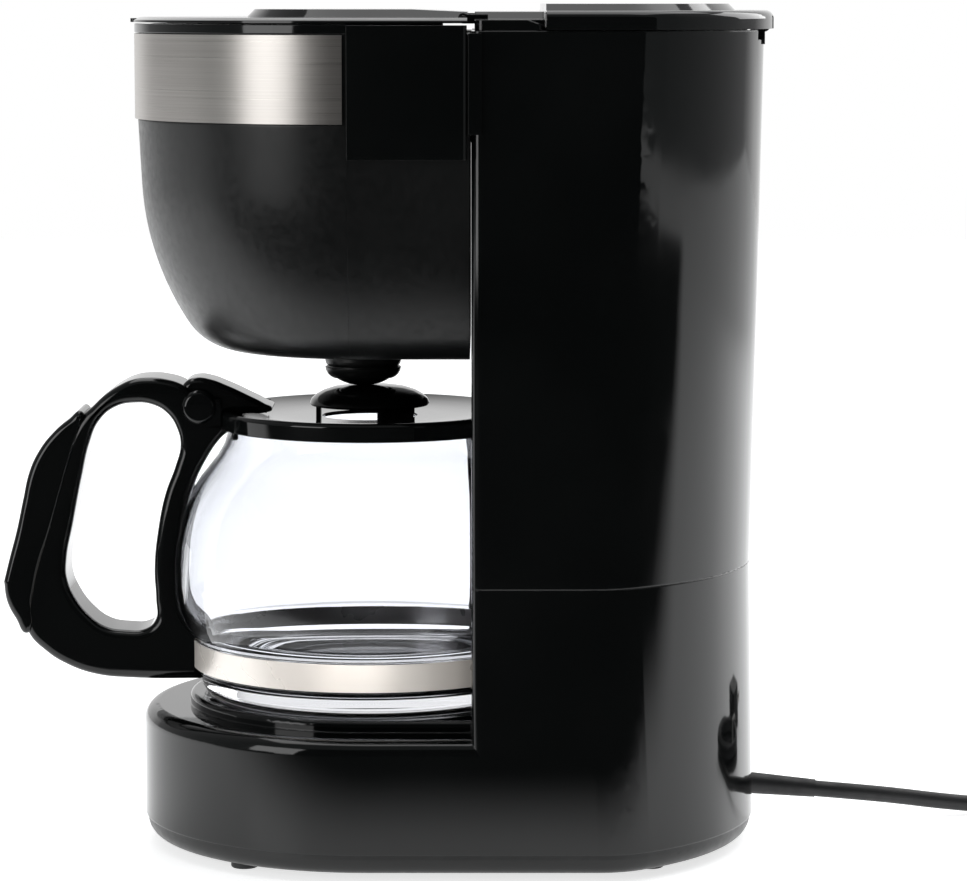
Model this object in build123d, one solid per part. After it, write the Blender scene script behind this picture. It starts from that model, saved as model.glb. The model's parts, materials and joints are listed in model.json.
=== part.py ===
from build123d import *
from math import asin, cos, pi, radians, sin, sqrt, tan
import os

# Drip coffee maker with a swing-out filter holder, a glass carafe on a warming plate and a rear water tank.
# Millimetres. +Z up, front towards -Y. Z = 0 is the surface that the feet stand on.

# ------------------------------------------------------------------ driving sizes
# Body
WIDTH = 144.0  # across the flat sides
CARAFE_Y = -5.5  # centre of the round front, the warming plate and the carafe
TOWER_FRONT_Y = 27.0
BACK_Y = 115.3  # the back at the seam
BACK_RADIUS = 79.8  # of the round back, at the seam
BACK_CORNER = 28.0  # blend between the round back and a flat side
FRONT_CORNER = 3.0
UPPER_DRAFT = 1.1  # degrees that the back leans out above the seam
LOWER_DRAFT = 1.0  # and below it
WALL = 2.4
RECESS_RADIUS = 66.0  # hollow front of the tower, round the carafe
RECESS_TOP_Z = 152.4

# Heights
BOTTOM_Z = 2.0
COVER_TOP_Z = 8.5
DECK_Z = 43.5
PEDESTAL_Z = 47.0
SEAM_Z = 89.8
SHELL_TOP_Z = 256.5

# Base details
COVER_INSET = 0.8
COVER_EDGE = 5.0
DECK_EDGE = 4.6
DECK_LAP = 12.0  # how far the base's sides run into the tower
PEDESTAL_RADIUS = 57.5
PLATE_RADIUS = 50.0
PLATE_RISE = 0.2  # above the pedestal
SHEET = 0.8
FOOT_RADIUS = 4.25
FOOT_PLACES = [(x, y) for x in (-49.5, 49.5) for y in (-43.0, 82.0)]
SCREW_RADIUS = 1.5
SCREW_PLACES = [(x, y) for x in (-50, 50) for y in (-28, 76)]
POST_RADIUS = 3.6

# Brew head
HEAD_GAP = 0.5  # between the filter holder and the tower
BOWL_TOP_Z = 255.6
BOWL_RADIUS = 72.2
BOWL_BOTTOM_Z = 156.4
BOWL_CURVE_Z = 208.5  # the side starts to curve in below this
BOWL_LEAN = 3.0  # degrees
BOWL_SIDE_RADIUS = 88.0
BOWL_TURN_Z = 165.2  # the side's large curve ends here
BOWL_WALL = 2.2
BAND_BOTTOM_Z = 229.0
BAND_TOP_Z = 255.3
BAND_END_Y = -11.2
BAND_SHEET = 0.7
PANEL_FRONT_Y = -9.9
PANEL_BACK_Y = 25.7
PANEL_BOTTOM_Z = 218.6
PANEL_TOP_Z = 258.2
PANEL_PROUD = 2.0  # outer face past the body's flat side
KNUCKLE_RADIUS = 4.5
KNUCKLE_BOTTOM_Z = 226.0
KNUCKLE_TOP_Z = 249.6
RIM_TOP_Z = 258.4
RIM_RADIUS = 73.2
FUNNEL_TOP_Z = 248.6
FUNNEL_SIZE = (58.0, 43.0)  # half widths of its oval mouth
FUNNEL_Y = -23.5
FUNNEL_OUTLET_Z = 161.0
FUNNEL_WALL = 1.8
VALVE_Y = -7.5
VALVE_RADIUS = 9.2
VALVE_TIP_Z = 144.9
VALVE_TIP_RADIUS = 3.7
STEM_RADIUS = 2.6
STEM_TOP_Z = 166.0
NOZZLE_RADIUS = 12.0
NOZZLE_BOTTOM_Z = 150.2
HOLDER_PIN_RADIUS = 1.6
RUNNING = 0.06  # radial clearance of a pin that turns

# Water path
TANK_FRONT_Y = 49.5  # above the step
TANK_LOW_FRONT_Y = 73.0  # below it, behind the hollow
TANK_STEP_Z = 160.0
TANK_FLOOR_Z = 98.0
TANK_WALL = 1.8
TANK_GAP = 0.6
HOSE_RADIUS = 4.8
PIPE_RADIUS = 3.2
PIPE_BORE = 2.2
HEATER_RADIUS = 36.0
HEATER_Z = 38.0
HEATER_LEG = 22.0  # straight ends of the horseshoe
RISER_RADIUS = 4.0
RISER_INSET = 12.0  # from the body's flat side
RISER_Y = 43.0
CUFF_Z = 64.0  # where the hose becomes the cuff on the riser
VALVE_MIDDLE_Z = 71.0  # check valve
ARM_HALF = 16.0
ARM_BOTTOM_Z = 251.6
ARM_TOP_Z = 256.2

# Top
BRIDGE_FRONT_Y = 28.0
BRIDGE_Z = 259.8
CREST_HALF = 38.0  # half width of the raised middle that runs over the lids
FRONT_LID_BOTTOM_Z = 258.8
FRONT_LID_RING_Z = 260.4
FRONT_LID_TOP_Z = 262.8
FRONT_LID_RADIUS = 73.6
FRONT_LID_BACK_Y = 25.8
FRONT_HINGE_Y = 24.6
FRONT_HINGE_Z = 260.2
FRONT_EAR_X = 54.0
TANK_LID_FRONT_Y = 49.3
TANK_LID_BOTTOM_Z = 256.8
TANK_LID_RING_Z = 262.5
TANK_LID_TOP_Z = 264.5
TANK_LID_OVERHANG = 2.9
TANK_LID_SIDE = 1.2
TANK_HINGE_Y = 117.5
TANK_HINGE_Z = 258.0
TANK_EAR_X = 11.2
TANK_NOTCH_HALF = 23.5
TANK_NOTCH_Z = 253.5

# Carafe
CARAFE_LIFT = 0.3  # running gap over the plate
GLASS_WALL = 2.0
GLASS_GAP = 0.15  # between the glass and the handle
BAND_RADIUS = 56.6
CARAFE_BAND_Z = (55.6, 64.2)
LID_RADIUS = 47.5
LID_RIM_Z = (131.3, 136.4)
DOME_RADIUS = 18.7
DOME_TOP_Z = 144.4
HANDLE_HALF = 11.5
BOSS_Y = -59.4
BOSS_Z = 138.0
BOSS_RADIUS = 4.4
LEVER_HALF = 7.0
LEVER_TOP_Z = 145.4
LID_PIN_RADIUS = 1.2

# Switch and level window, on the left side
SWITCH_Y = 62.0
SWITCH_Z = 30.0
SWITCH_SIZE = (13.0, 20.0)
ROCKER_TILT = 6.0
ROCKER_DEPTH = 3.6  # of its pin behind the shell's side
WINDOW_Y = 84.0
WINDOW_HALF = 4.0
WINDOW_Z = (112.0, 236.0)

# Cord
CORD_DIAMETER = 5.2
EXIT_X = -18.0
EXIT_Z = 12.4
RELIEF_LENGTH = 24.0
COIL_X = -62.4
COIL_Y = 240.0
COIL_MEAN_RADIUS = 28.6
TAIL_LENGTH = 27.0
FLOOR_CLEARANCE = 0.02

# ------------------------------------------------------------------ worked out
HALF = WIDTH / 2
PANEL_X = HALF + PANEL_PROUD
RISER_X = HALF - RISER_INSET
BACK_CENTRE_Y = BACK_Y - BACK_RADIUS
HINGE_X = -(PANEL_X - KNUCKLE_RADIUS)
HINGE_Y = PANEL_BACK_Y - KNUCKLE_RADIUS + 0.9
HEAD_BACK_Y = TOWER_FRONT_Y - HEAD_GAP
PLATE_TOP_Z = PEDESTAL_Z + PLATE_RISE
CARAFE_Z = PLATE_TOP_Z + CARAFE_LIFT
PIPE_STUB = 12.0
HOSE_START_Y = CARAFE_Y + HEATER_LEG + PIPE_STUB - 8
SPOUT_Y = TANK_LOW_FRONT_Y + 12.0

os.makedirs("parts", exist_ok=True)


# ------------------------------------------------------------------ helpers
def box(x0, x1, y0, y1, z0, z1):
    """A block between two corners."""
    return Pos((x0 + x1) / 2, (y0 + y1) / 2, (z0 + z1) / 2) * Box(x1 - x0, y1 - y0, z1 - z0)


def rod(x, y, z0, z1, radius):
    """An upright cylinder."""
    return Pos(x, y, (z0 + z1) / 2) * Cylinder(radius, z1 - z0)


def rod_x(x0, x1, y, z, radius):
    """A cylinder along X."""
    return Pos((x0 + x1) / 2, y, z) * Rot(0, 90, 0) * Cylinder(radius, x1 - x0)


def rod_y(x, y0, y1, z, radius):
    """A cylinder along Y."""
    return Pos(x, (y0 + y1) / 2, z) * Rot(90, 0, 0) * Cylinder(radius, y1 - y0)


def upright(edges):
    """The edges that run from bottom to top."""
    return [e for e in edges if abs(e.tangent_at(0.5).Z) > 0.9]


def top_edges(shape):
    return shape.edges().group_by(Axis.Z)[-1]


def bottom_edges(shape):
    return shape.edges().group_by(Axis.Z)[0]


def back_radius(z):
    """Radius of the round back at a height: it leans out both ways from the seam."""
    if z > SEAM_Z:
        return BACK_RADIUS + (z - SEAM_Z) * tan(radians(UPPER_DRAFT))
    return BACK_RADIUS + (SEAM_Z - z) * tan(radians(LOWER_DRAFT))


def tower_block(z0, z1, y_front, inset, corner=FRONT_CORNER):
    """The tower's outline as a solid between two heights on one side of the seam."""
    r0, r1 = back_radius(z0 + 1e-6 if z0 == SEAM_Z else z0) - inset, back_radius(z1) - inset
    cone = Pos(0, BACK_CENTRE_Y, (z0 + z1) / 2) * Cone(r0, r1, z1 - z0)
    block = cone & box(inset - HALF, HALF - inset, y_front, BACK_CENTRE_Y + 2 * BACK_RADIUS, z0, z1)
    sides = sorted(upright(block.edges()), key=lambda e: e.center().Y)
    block = block.fillet(BACK_CORNER - inset, sides[2:])
    if corner > inset:
        sides = sorted(upright(block.edges()), key=lambda e: e.center().Y)
        block = block.fillet(corner - inset, sides[:2])
    return block


def recess(wall, z0, z1):
    """The round hollow in the tower's front that the carafe stands in, or its wall's outside."""
    return rod(0, CARAFE_Y, z0, z1, RECESS_RADIUS + wall)


def front_plan(half, y_back):
    """A half round front of that half width about the carafe's axis, with straight sides back to y_back."""
    with BuildLine() as outline:
        ThreePointArc((half, CARAFE_Y), (0, CARAFE_Y - half), (-half, CARAFE_Y))
        Polyline((-half, CARAFE_Y), (-half, y_back), (half, y_back), (half, CARAFE_Y))
    return make_face(outline.edges())


def full_plan(half, radius, corner):
    """The whole outline of the base: half round front, flat sides and round back."""
    y_side = BACK_CENTRE_Y + sqrt(radius**2 - half**2)
    with BuildLine() as outline:
        ThreePointArc((half, CARAFE_Y), (0, CARAFE_Y - half), (-half, CARAFE_Y))
        Line((-half, CARAFE_Y), (-half, y_side))
        ThreePointArc((-half, y_side), (0, BACK_CENTRE_Y + radius), (half, y_side))
        Line((half, y_side), (half, CARAFE_Y))
    plan = make_face(outline.edges())
    corners = [v for v in plan.vertices() if abs(v.Y - y_side) < 1e-3]
    return fillet(corners, corner)


def slab(plan, z0, z1):
    """A plan drawn at Z = 0, raised between two heights."""
    return Pos(0, 0, z0) * extrude(plan, amount=z1 - z0)


def tube(points, radii, radius, bore=0.0):
    """A pipe along straight runs joined by arcs, one radius for each corner."""
    path = FilletPolyline(*points, radius=radii) if len(points) > 2 else Line(*points)
    section = Plane(origin=path @ 0, z_dir=path % 0)
    pipe = sweep(section * Circle(radius), path)
    return pipe - sweep(section * Circle(bore), path) if bore else pipe


def turned(points, y=CARAFE_Y):
    """A closed outline of (radius, height) points turned about an upright axis."""
    return Pos(0, y, 0) * revolve(Plane.XZ * make_face(Polyline(*points, close=True)), Axis.Z)


# ------------------------------------------------------------------ base
def bottom_cover():
    half, radius = HALF - COVER_INSET, back_radius(COVER_TOP_Z) - COVER_INSET
    corner = BACK_CORNER - COVER_INSET
    tray = slab(full_plan(half, radius, corner), BOTTOM_Z, COVER_TOP_Z)
    tray = tray.fillet(COVER_EDGE, bottom_edges(tray))
    wall = WALL - COVER_INSET + 0.6
    tray -= slab(full_plan(half - wall, radius - wall, corner - wall), BOTTOM_Z + WALL, COVER_TOP_Z)
    for x, y in SCREW_PLACES:
        tray += rod(x, y, BOTTOM_Z + 1, COVER_TOP_Z, POST_RADIUS)
        tray -= rod(x, y, BOTTOM_Z - 1, BOTTOM_Z + 3, 2 * SCREW_RADIUS + 0.2)
        tray -= rod(x, y, BOTTOM_Z, COVER_TOP_Z, SCREW_RADIUS)
    for x, y in FOOT_PLACES:
        tray -= rod(x, y, BOTTOM_Z - 1, BOTTOM_Z + 2 * WALL, FOOT_RADIUS / 2)
    for i in range(7):
        x = (i - 3) * 9.0
        tray -= box(x - 1.5, x + 1.5, 25, 60, BOTTOM_Z - 1, BOTTOM_Z + 2 * WALL)
    return tray


def feet():
    made = []
    for x, y in FOOT_PLACES:
        pad = rod(x, y, 0, BOTTOM_Z, FOOT_RADIUS)
        pad = pad.fillet(0.7, bottom_edges(pad))
        made.append(pad + rod(x, y, BOTTOM_Z, BOTTOM_Z + WALL, FOOT_RADIUS / 2))
    return Compound(children=made)


def bottom_screws():
    made = []
    for x, y in SCREW_PLACES:
        head = rod(x, y, BOTTOM_Z + 1.4, BOTTOM_Z + 3, 2 * SCREW_RADIUS)
        head -= box(x - 0.4, x + 0.4, y - 2, y + 2, BOTTOM_Z + 1, BOTTOM_Z + 2)
        head -= box(x - 2, x + 2, y - 0.4, y + 0.4, BOTTOM_Z + 1, BOTTOM_Z + 2)
        made.append(head + rod(x, y, BOTTOM_Z + 3, COVER_TOP_Z + 9, SCREW_RADIUS))
    return Compound(children=made)


def lower_shell():
    deck = slab(front_plan(HALF, TOWER_FRONT_Y + DECK_LAP), COVER_TOP_Z, DECK_Z)
    deck = deck.fillet(DECK_EDGE, top_edges(deck))
    rise = slab(front_plan(PEDESTAL_RADIUS, TOWER_FRONT_Y + WALL / 2), DECK_Z - WALL / 2, PEDESTAL_Z)
    rise = rise.fillet(1.6, top_edges(rise))
    shell = deck + rise + tower_block(COVER_TOP_Z, SEAM_Z, TOWER_FRONT_Y, 0)
    shell -= slab(front_plan(HALF - WALL, TOWER_FRONT_Y + DECK_LAP), COVER_TOP_Z, DECK_Z - WALL)
    hollow = front_plan(PEDESTAL_RADIUS - WALL, TOWER_FRONT_Y + WALL + 1)
    shell -= slab(hollow, DECK_Z - 2 * WALL, PEDESTAL_Z - WALL)
    inside = tower_block(COVER_TOP_Z, SEAM_Z, TOWER_FRONT_Y + WALL, WALL)
    shell -= inside - recess(WALL, PEDESTAL_Z - WALL, SEAM_Z)
    shell -= recess(0, PEDESTAL_Z, SEAM_Z)
    shell -= rod(0, CARAFE_Y, DECK_Z, PEDESTAL_Z + 1, PLATE_RADIUS + 1.5)
    radius, flat = back_radius(COVER_TOP_Z) - BACK_CORNER, HALF - BACK_CORNER
    for x, y in SCREW_PLACES:
        top = DECK_Z - WALL
        past = y + 1 - BACK_CENTRE_Y - sqrt(radius**2 - flat**2)
        side = flat + sqrt(BACK_CORNER**2 - max(past, 0) ** 2) - WALL / 2
        side = side if x > 0 else -side
        shell += rod(x, y, COVER_TOP_Z, top, POST_RADIUS)
        if y > TOWER_FRONT_Y:
            shell += box(min(x, side), max(x, side), y - 1, y + 1, COVER_TOP_Z, top)
        shell -= rod(x, y, COVER_TOP_Z, COVER_TOP_Z + 12, SCREW_RADIUS)
    for x in (-1, 1):
        x *= PEDESTAL_RADIUS + 2
        shell += rod(x, CARAFE_Y, HEATER_Z - 4.6, DECK_Z - WALL / 2, 3)
        shell -= rod(x, CARAFE_Y, HEATER_Z - 4.6, HEATER_Z, 1.2)
    y, z = SWITCH_SIZE[0] / 2, SWITCH_SIZE[1] / 2
    shell -= box(-HALF - 1, WALL - HALF + 1, SWITCH_Y - y, SWITCH_Y + y, SWITCH_Z - z, SWITCH_Z + z)
    shell -= rod_y(EXIT_X, BACK_Y - 10, BACK_Y + 10, EXIT_Z, CORD_DIAMETER / 2 + 1.0)
    return shell


def warming_plate():
    plate = rod(0, CARAFE_Y, PLATE_TOP_Z - 4, PLATE_TOP_Z, PLATE_RADIUS)
    plate = plate.fillet(1.4, top_edges(plate))
    return plate - rod(0, CARAFE_Y, PLATE_TOP_Z - 6, PLATE_TOP_Z - SHEET, PLATE_RADIUS - SHEET)


def plate_seal():
    under = PEDESTAL_Z - WALL
    ring = rod(0, CARAFE_Y, under - 1.5, PEDESTAL_Z - 0.3, PLATE_RADIUS + 1.5)
    ring += rod(0, CARAFE_Y, under - 1.5, under, PLATE_RADIUS + 3.6)
    return ring - rod(0, CARAFE_Y, under - 3, PEDESTAL_Z + 1, PLATE_RADIUS)


def heater():
    """Cast horseshoe under the plate: the water pipe and the heating rod under one flat face."""
    flat = PLATE_TOP_Z - SHEET
    rod_radius = HEATER_RADIUS - 8.5
    with BuildSketch(Plane.XZ) as section:
        with Locations(((HEATER_RADIUS + rod_radius) / 2, (flat + HEATER_Z) / 2)):
            Rectangle(HEATER_RADIUS - rod_radius + 8.0, flat - HEATER_Z)
        with Locations((HEATER_RADIUS, HEATER_Z)):
            Circle(4.6)
        with Locations((rod_radius, HEATER_Z)):
            Circle(4.1)
        with Locations((HEATER_RADIUS, HEATER_Z)):
            Circle(PIPE_BORE, mode=Mode.SUBTRACT)
    ring = Rot(0, 0, 180) * revolve(section.sketch, Axis.Z, 180)
    leg = Pos(0, HEATER_LEG, 0) * extrude(section.sketch, amount=HEATER_LEG)
    ring = Pos(0, CARAFE_Y, 0) * (ring + leg + mirror(leg, Plane.YZ))
    end = CARAFE_Y + HEATER_LEG
    for x in (-HEATER_RADIUS, HEATER_RADIUS):
        stub = rod_y(x, end - 2, end + PIPE_STUB, HEATER_Z, PIPE_RADIUS)
        ring += stub - rod_y(x, end - 3, end + PIPE_STUB + 1, HEATER_Z, PIPE_BORE)
    return ring


def heater_clamp():
    z1 = HEATER_Z - 4.6
    reach = PEDESTAL_RADIUS + 6
    bar = box(-reach, reach, CARAFE_Y - 6, CARAFE_Y + 6, z1 - 1.5, z1)
    for x in (-1, 1):
        bar -= rod(x * (PEDESTAL_RADIUS + 2), CARAFE_Y, z1 - 2, z1 + 1, 1.6)
    return bar.fillet(2.5, upright(bar.edges().filter_by(GeomType.LINE))[:4])


def clamp_screws():
    z = HEATER_Z - 4.6 - 1.5
    made = []
    for x in (-1, 1):
        x *= PEDESTAL_RADIUS + 2
        made.append(rod(x, CARAFE_Y, z - 1.6, z, 2.6) + rod(x, CARAFE_Y, z, z + 5, 1.2))
    return Compound(children=made)


def thermostat():
    z0, z1 = HEATER_Z - 4.6, PLATE_TOP_Z - SHEET
    can = rod(0, CARAFE_Y, z0, z1, 7)
    for x in (-1, 1):
        can += box(min(x * 4, x * 12), max(x * 4, x * 12), CARAFE_Y - 2, CARAFE_Y + 2, z1 - 3.4, z1 - 2.6)
    return can


def thermal_fuse():
    return rod_y(16.0, CARAFE_Y - 5.5, CARAFE_Y + 5.5, HEATER_Z - 4.6 + 2.0, 2.0)


# ------------------------------------------------------------------ water path
def check_valve():
    x, y, z = -HEATER_RADIUS, SPOUT_Y, VALVE_MIDDLE_Z
    body = rod(x, y, z - 7, z + 7, 6)
    body += rod(x, y, z - 13, z + 13, PIPE_RADIUS)
    return body - rod(x, y, z - 14, z + 14, PIPE_BORE)


def inlet_hose():
    x = -HEATER_RADIUS
    below, above = VALVE_MIDDLE_Z - 8, VALVE_MIDDLE_Z + 8
    low = [(x, HOSE_START_Y, HEATER_Z), (x, SPOUT_Y, HEATER_Z), (x, SPOUT_Y, below)]
    high = [(x, SPOUT_Y, above), (x, SPOUT_Y, TANK_FLOOR_Z - 3)]
    return Compound(
        children=[tube(low, [12], HOSE_RADIUS, PIPE_RADIUS), tube(high, [], HOSE_RADIUS, PIPE_RADIUS)]
    )


def outlet_hose():
    x = HEATER_RADIUS
    turn = (x, RISER_Y - 6, HEATER_Z)
    foot, head = (RISER_X, RISER_Y, HEATER_Z), (RISER_X, RISER_Y, CUFF_Z)
    hose = tube([(x, HOSE_START_Y, HEATER_Z), turn, foot, head], [10, 11], HOSE_RADIUS, PIPE_RADIUS)
    cuff = rod(RISER_X, RISER_Y, CUFF_Z, CUFF_Z + 14, RISER_RADIUS + 1.6)
    cuff -= rod(RISER_X, RISER_Y, CUFF_Z + 2, CUFF_Z + 15, RISER_RADIUS)
    return hose + (cuff - rod(RISER_X, RISER_Y, CUFF_Z - 1, CUFF_Z + 3, PIPE_RADIUS))


def riser_tube():
    pipe = rod(RISER_X, RISER_Y, CUFF_Z + 2, ARM_BOTTOM_Z + 2.5, RISER_RADIUS)
    return pipe - rod(RISER_X, RISER_Y, CUFF_Z + 1, ARM_TOP_Z, RISER_RADIUS - 1)


def tank_block(wall, floor, top):
    """The stepped tank filled, as seen from outside its wall or inside it."""
    block = tower_block(TANK_FLOOR_Z + floor, top, TANK_FRONT_Y + wall, WALL + TANK_GAP + wall, 6)
    return block - box(-HALF, HALF, 0, TANK_LOW_FRONT_Y + wall, 0, TANK_STEP_Z + floor)


def water_tank():
    """Tank that is deep above the hollow for the carafe and shallow behind it, with a spout in its floor."""
    top = SHELL_TOP_Z - 0.5
    tank = tank_block(0, 0, top) - tank_block(TANK_WALL, 2, top)
    tank -= box(-TANK_NOTCH_HALF, TANK_NOTCH_HALF, BACK_Y - 5, BACK_Y + 10, TANK_NOTCH_Z - 0.5, SHELL_TOP_Z)
    tank += rod(-HEATER_RADIUS, SPOUT_Y, TANK_FLOOR_Z - 11, TANK_FLOOR_Z, PIPE_RADIUS)
    return tank - rod(-HEATER_RADIUS, SPOUT_Y, TANK_FLOOR_Z - 12, TANK_FLOOR_Z + 3, PIPE_BORE)


def spray_arm():
    """Flat hollow duct from the riser to a round head over the filter."""

    def duct(inset):
        z0, z1 = ARM_BOTTOM_Z + inset, ARM_TOP_Z - inset
        half, back = ARM_HALF - inset, RISER_Y + RISER_RADIUS + 1.8 - inset
        shape = box(-half, half, CARAFE_Y, back, z0, z1) + rod(0, CARAFE_Y, z0, z1, half)
        return shape + box(-half, RISER_X + RISER_RADIUS + 1.8 - inset, 2 * RISER_Y - back, back, z0, z1)

    arm = duct(0) - duct(1.2)
    arm -= rod(0, CARAFE_Y, ARM_BOTTOM_Z - 1, ARM_TOP_Z - 1.2, ARM_HALF - 1.5)
    return arm - rod(RISER_X, RISER_Y, ARM_BOTTOM_Z - 1, ARM_BOTTOM_Z + 2.5, RISER_RADIUS)


def shower_plate():
    z1 = ARM_BOTTOM_Z + 0.6
    plate = rod(0, CARAFE_Y, z1 - 1.2, z1, ARM_HALF - 1.5)
    for ring, count in ((4.0, 6), (8.0, 10), (11.5, 14)):
        for i in range(count):
            a = 2 * pi * i / count
            plate -= rod(ring * cos(a), CARAFE_Y + ring * sin(a), z1 - 2, z1 + 1, 0.8)
    return plate


# ------------------------------------------------------------------ tower and top
def upper_shell():
    shell = tower_block(SEAM_Z, SHELL_TOP_Z, TOWER_FRONT_Y, 0)
    inside = tower_block(SEAM_Z, SHELL_TOP_Z, TOWER_FRONT_Y + WALL, WALL)
    shell -= inside - recess(WALL, SEAM_Z, RECESS_TOP_Z + WALL)
    shell -= recess(0, SEAM_Z, RECESS_TOP_Z)
    half, front = ARM_HALF + 0.4, TOWER_FRONT_Y
    shell -= box(-half, half, front - 1, front + 5, ARM_BOTTOM_Z - 1, SHELL_TOP_Z)
    shell -= box(-TANK_NOTCH_HALF, TANK_NOTCH_HALF, BACK_Y - 5, BACK_Y + 10, TANK_NOTCH_Z, SHELL_TOP_Z)
    rear = BACK_CENTRE_Y + back_radius(TANK_NOTCH_Z)
    for side in (-1, 1):
        x0, x1 = sorted((side * (TANK_EAR_X - 2.8), side * (TANK_EAR_X + 2.8)))
        ear = box(x0, x1, rear - WALL + 0.1, rear - 0.5, TANK_NOTCH_Z - 1.5, TANK_HINGE_Z)
        ear += box(x0, x1, TANK_HINGE_Y - 2.2, rear - 0.5, TANK_NOTCH_Z + 0.3, TANK_HINGE_Z)
        ear += rod_x(x0, x1, TANK_HINGE_Y, TANK_HINGE_Z, 2.2)
        shell += ear
    shell -= rod_x(-TANK_EAR_X - 3, TANK_EAR_X + 3, TANK_HINGE_Y, TANK_HINGE_Z, 1.0)
    y0, y1 = WINDOW_Y - WINDOW_HALF, WINDOW_Y + WINDOW_HALF
    shell -= box(-HALF - 1, 10 - HALF, y0, y1, *WINDOW_Z)
    return shell


def level_window():
    """Clear strip that fills the slot in the shell, so that the water can be seen."""
    y0, y1 = WINDOW_Y - WINDOW_HALF, WINDOW_Y + WINDOW_HALF
    strip = tower_block(*WINDOW_Z, TOWER_FRONT_Y, 0) - tower_block(*WINDOW_Z, TOWER_FRONT_Y, WALL)
    return strip & box(-HALF - 1, 10 - HALF, y0 + 0.02, y1 - 0.02, WINDOW_Z[0] + 0.02, WINDOW_Z[1] - 0.02)


def crest(y0, y1, z0, z1, half):
    """The raised middle of the top, with sloping flanks."""
    slope = z1 - z0
    flank = Polyline((-half, z0), (half, z0), (half - slope, z1), (slope - half, z1), close=True)
    return Pos(0, y1, 0) * extrude(Plane.XZ * make_face(flank), amount=y1 - y0)


def top_bridge():
    """Fixed cover between the two lids, which carries the front lid's hinge ears."""
    block = box(-HALF, HALF, BRIDGE_FRONT_Y, TANK_LID_FRONT_Y - 0.3, SHELL_TOP_Z, BRIDGE_Z)
    block = block.fillet(FRONT_CORNER, upright(block.edges())[:4])
    block += crest(BRIDGE_FRONT_Y, TANK_LID_FRONT_Y - 0.3, BRIDGE_Z - 0.5, FRONT_LID_TOP_Z - 0.7, CREST_HALF)
    for side in (-1, 1):
        x0, x1 = side * FRONT_EAR_X - 2.5, side * FRONT_EAR_X + 2.5
        ear = box(x0, x1, FRONT_HINGE_Y, BRIDGE_FRONT_Y + 4, FRONT_HINGE_Z - 1.6, FRONT_HINGE_Z + 1.2)
        block += ear + rod_x(x0, x1, FRONT_HINGE_Y, FRONT_HINGE_Z, 1.6)
        block -= rod_x(x0 - 1, x1 + 1, FRONT_HINGE_Y, FRONT_HINGE_Z, 0.8)
        above, back = BRIDGE_Z + 0.1, TANK_LID_FRONT_Y
        cut = [(back - 6, above), (back, above), (back, BRIDGE_Z - 2)]
        notch = extrude(Plane.YZ * make_face(Polyline(*cut, close=True)), amount=16)
        block -= Pos(HALF - 15 if side > 0 else -HALF - 1, 0, 0) * notch
    return block


def front_lid():
    """Thin lid over the filter: a bevelled ring with a raised middle, hollow underneath, on two pins."""
    plan = front_plan(FRONT_LID_RADIUS, FRONT_LID_BACK_Y)
    lid = slab(plan, FRONT_LID_BOTTOM_Z, FRONT_LID_RING_Z)
    lid = lid.chamfer(0.9, 2.4, top_edges(lid).filter_by(GeomType.CIRCLE))
    high = FRONT_LID_TOP_Z - FRONT_LID_RING_Z
    mid = front_plan(CREST_HALF, FRONT_LID_BACK_Y)
    raised = slab(mid, FRONT_LID_RING_Z - 0.2, FRONT_LID_TOP_Z)
    outer = [e for e in top_edges(raised) if e.center().Y < FRONT_LID_BACK_Y - 1]
    lid += raised.chamfer(high, None, outer)
    above, back = FRONT_LID_TOP_Z + 0.01, FRONT_LID_BACK_Y + 1
    slope = [(CARAFE_Y + 14, above), (back, above), (back, FRONT_LID_TOP_Z - 0.8)]
    lid -= Pos(-HALF, 0, 0) * extrude(Plane.YZ * make_face(Polyline(*slope, close=True)), amount=WIDTH)
    hollow = front_plan(CREST_HALF - high - 1.5, FRONT_LID_BACK_Y - 6)
    lid -= slab(hollow, FRONT_LID_BOTTOM_Z - 1, FRONT_LID_TOP_Z - 1.6)
    tab_y = CARAFE_Y - FRONT_LID_RADIUS
    tab = box(-9, 9, tab_y - 0.3, tab_y + 6, FRONT_LID_BOTTOM_Z, FRONT_LID_RING_Z - 0.4)
    lid += tab.fillet(1.1, upright(tab.edges()))
    for side in (-1, 1):
        x0, x1 = side * FRONT_EAR_X - 2.8, side * FRONT_EAR_X + 2.8
        y0, y1 = FRONT_HINGE_Y - 2.2, FRONT_LID_BACK_Y + 1
        lid -= box(x0, x1, y0, y1, FRONT_LID_BOTTOM_Z - 1, FRONT_LID_TOP_Z + 1)
        lid -= rod_x(x0 - 5, x1 + 5, FRONT_HINGE_Y, FRONT_HINGE_Z, 0.8 + RUNNING)
    return lid


def front_lid_pins():
    made = []
    for side in (-1, 1):
        made.append(rod_x(side * FRONT_EAR_X - 7, side * FRONT_EAR_X + 7, FRONT_HINGE_Y, FRONT_HINGE_Z, 0.8))
    return Compound(children=made)


def lid_plan(half, radius, y_front, corner):
    """Outline of the tank lid: flat front and sides, round back."""
    y_side = BACK_CENTRE_Y + sqrt(radius**2 - half**2)
    with BuildLine() as outline:
        Polyline((-half, y_side), (-half, y_front), (half, y_front), (half, y_side))
        ThreePointArc((half, y_side), (0, BACK_CENTRE_Y + radius), (-half, y_side))
    plan = make_face(outline.edges())
    return fillet([v for v in plan.vertices() if abs(v.Y - y_side) < 1e-3], corner)


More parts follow.
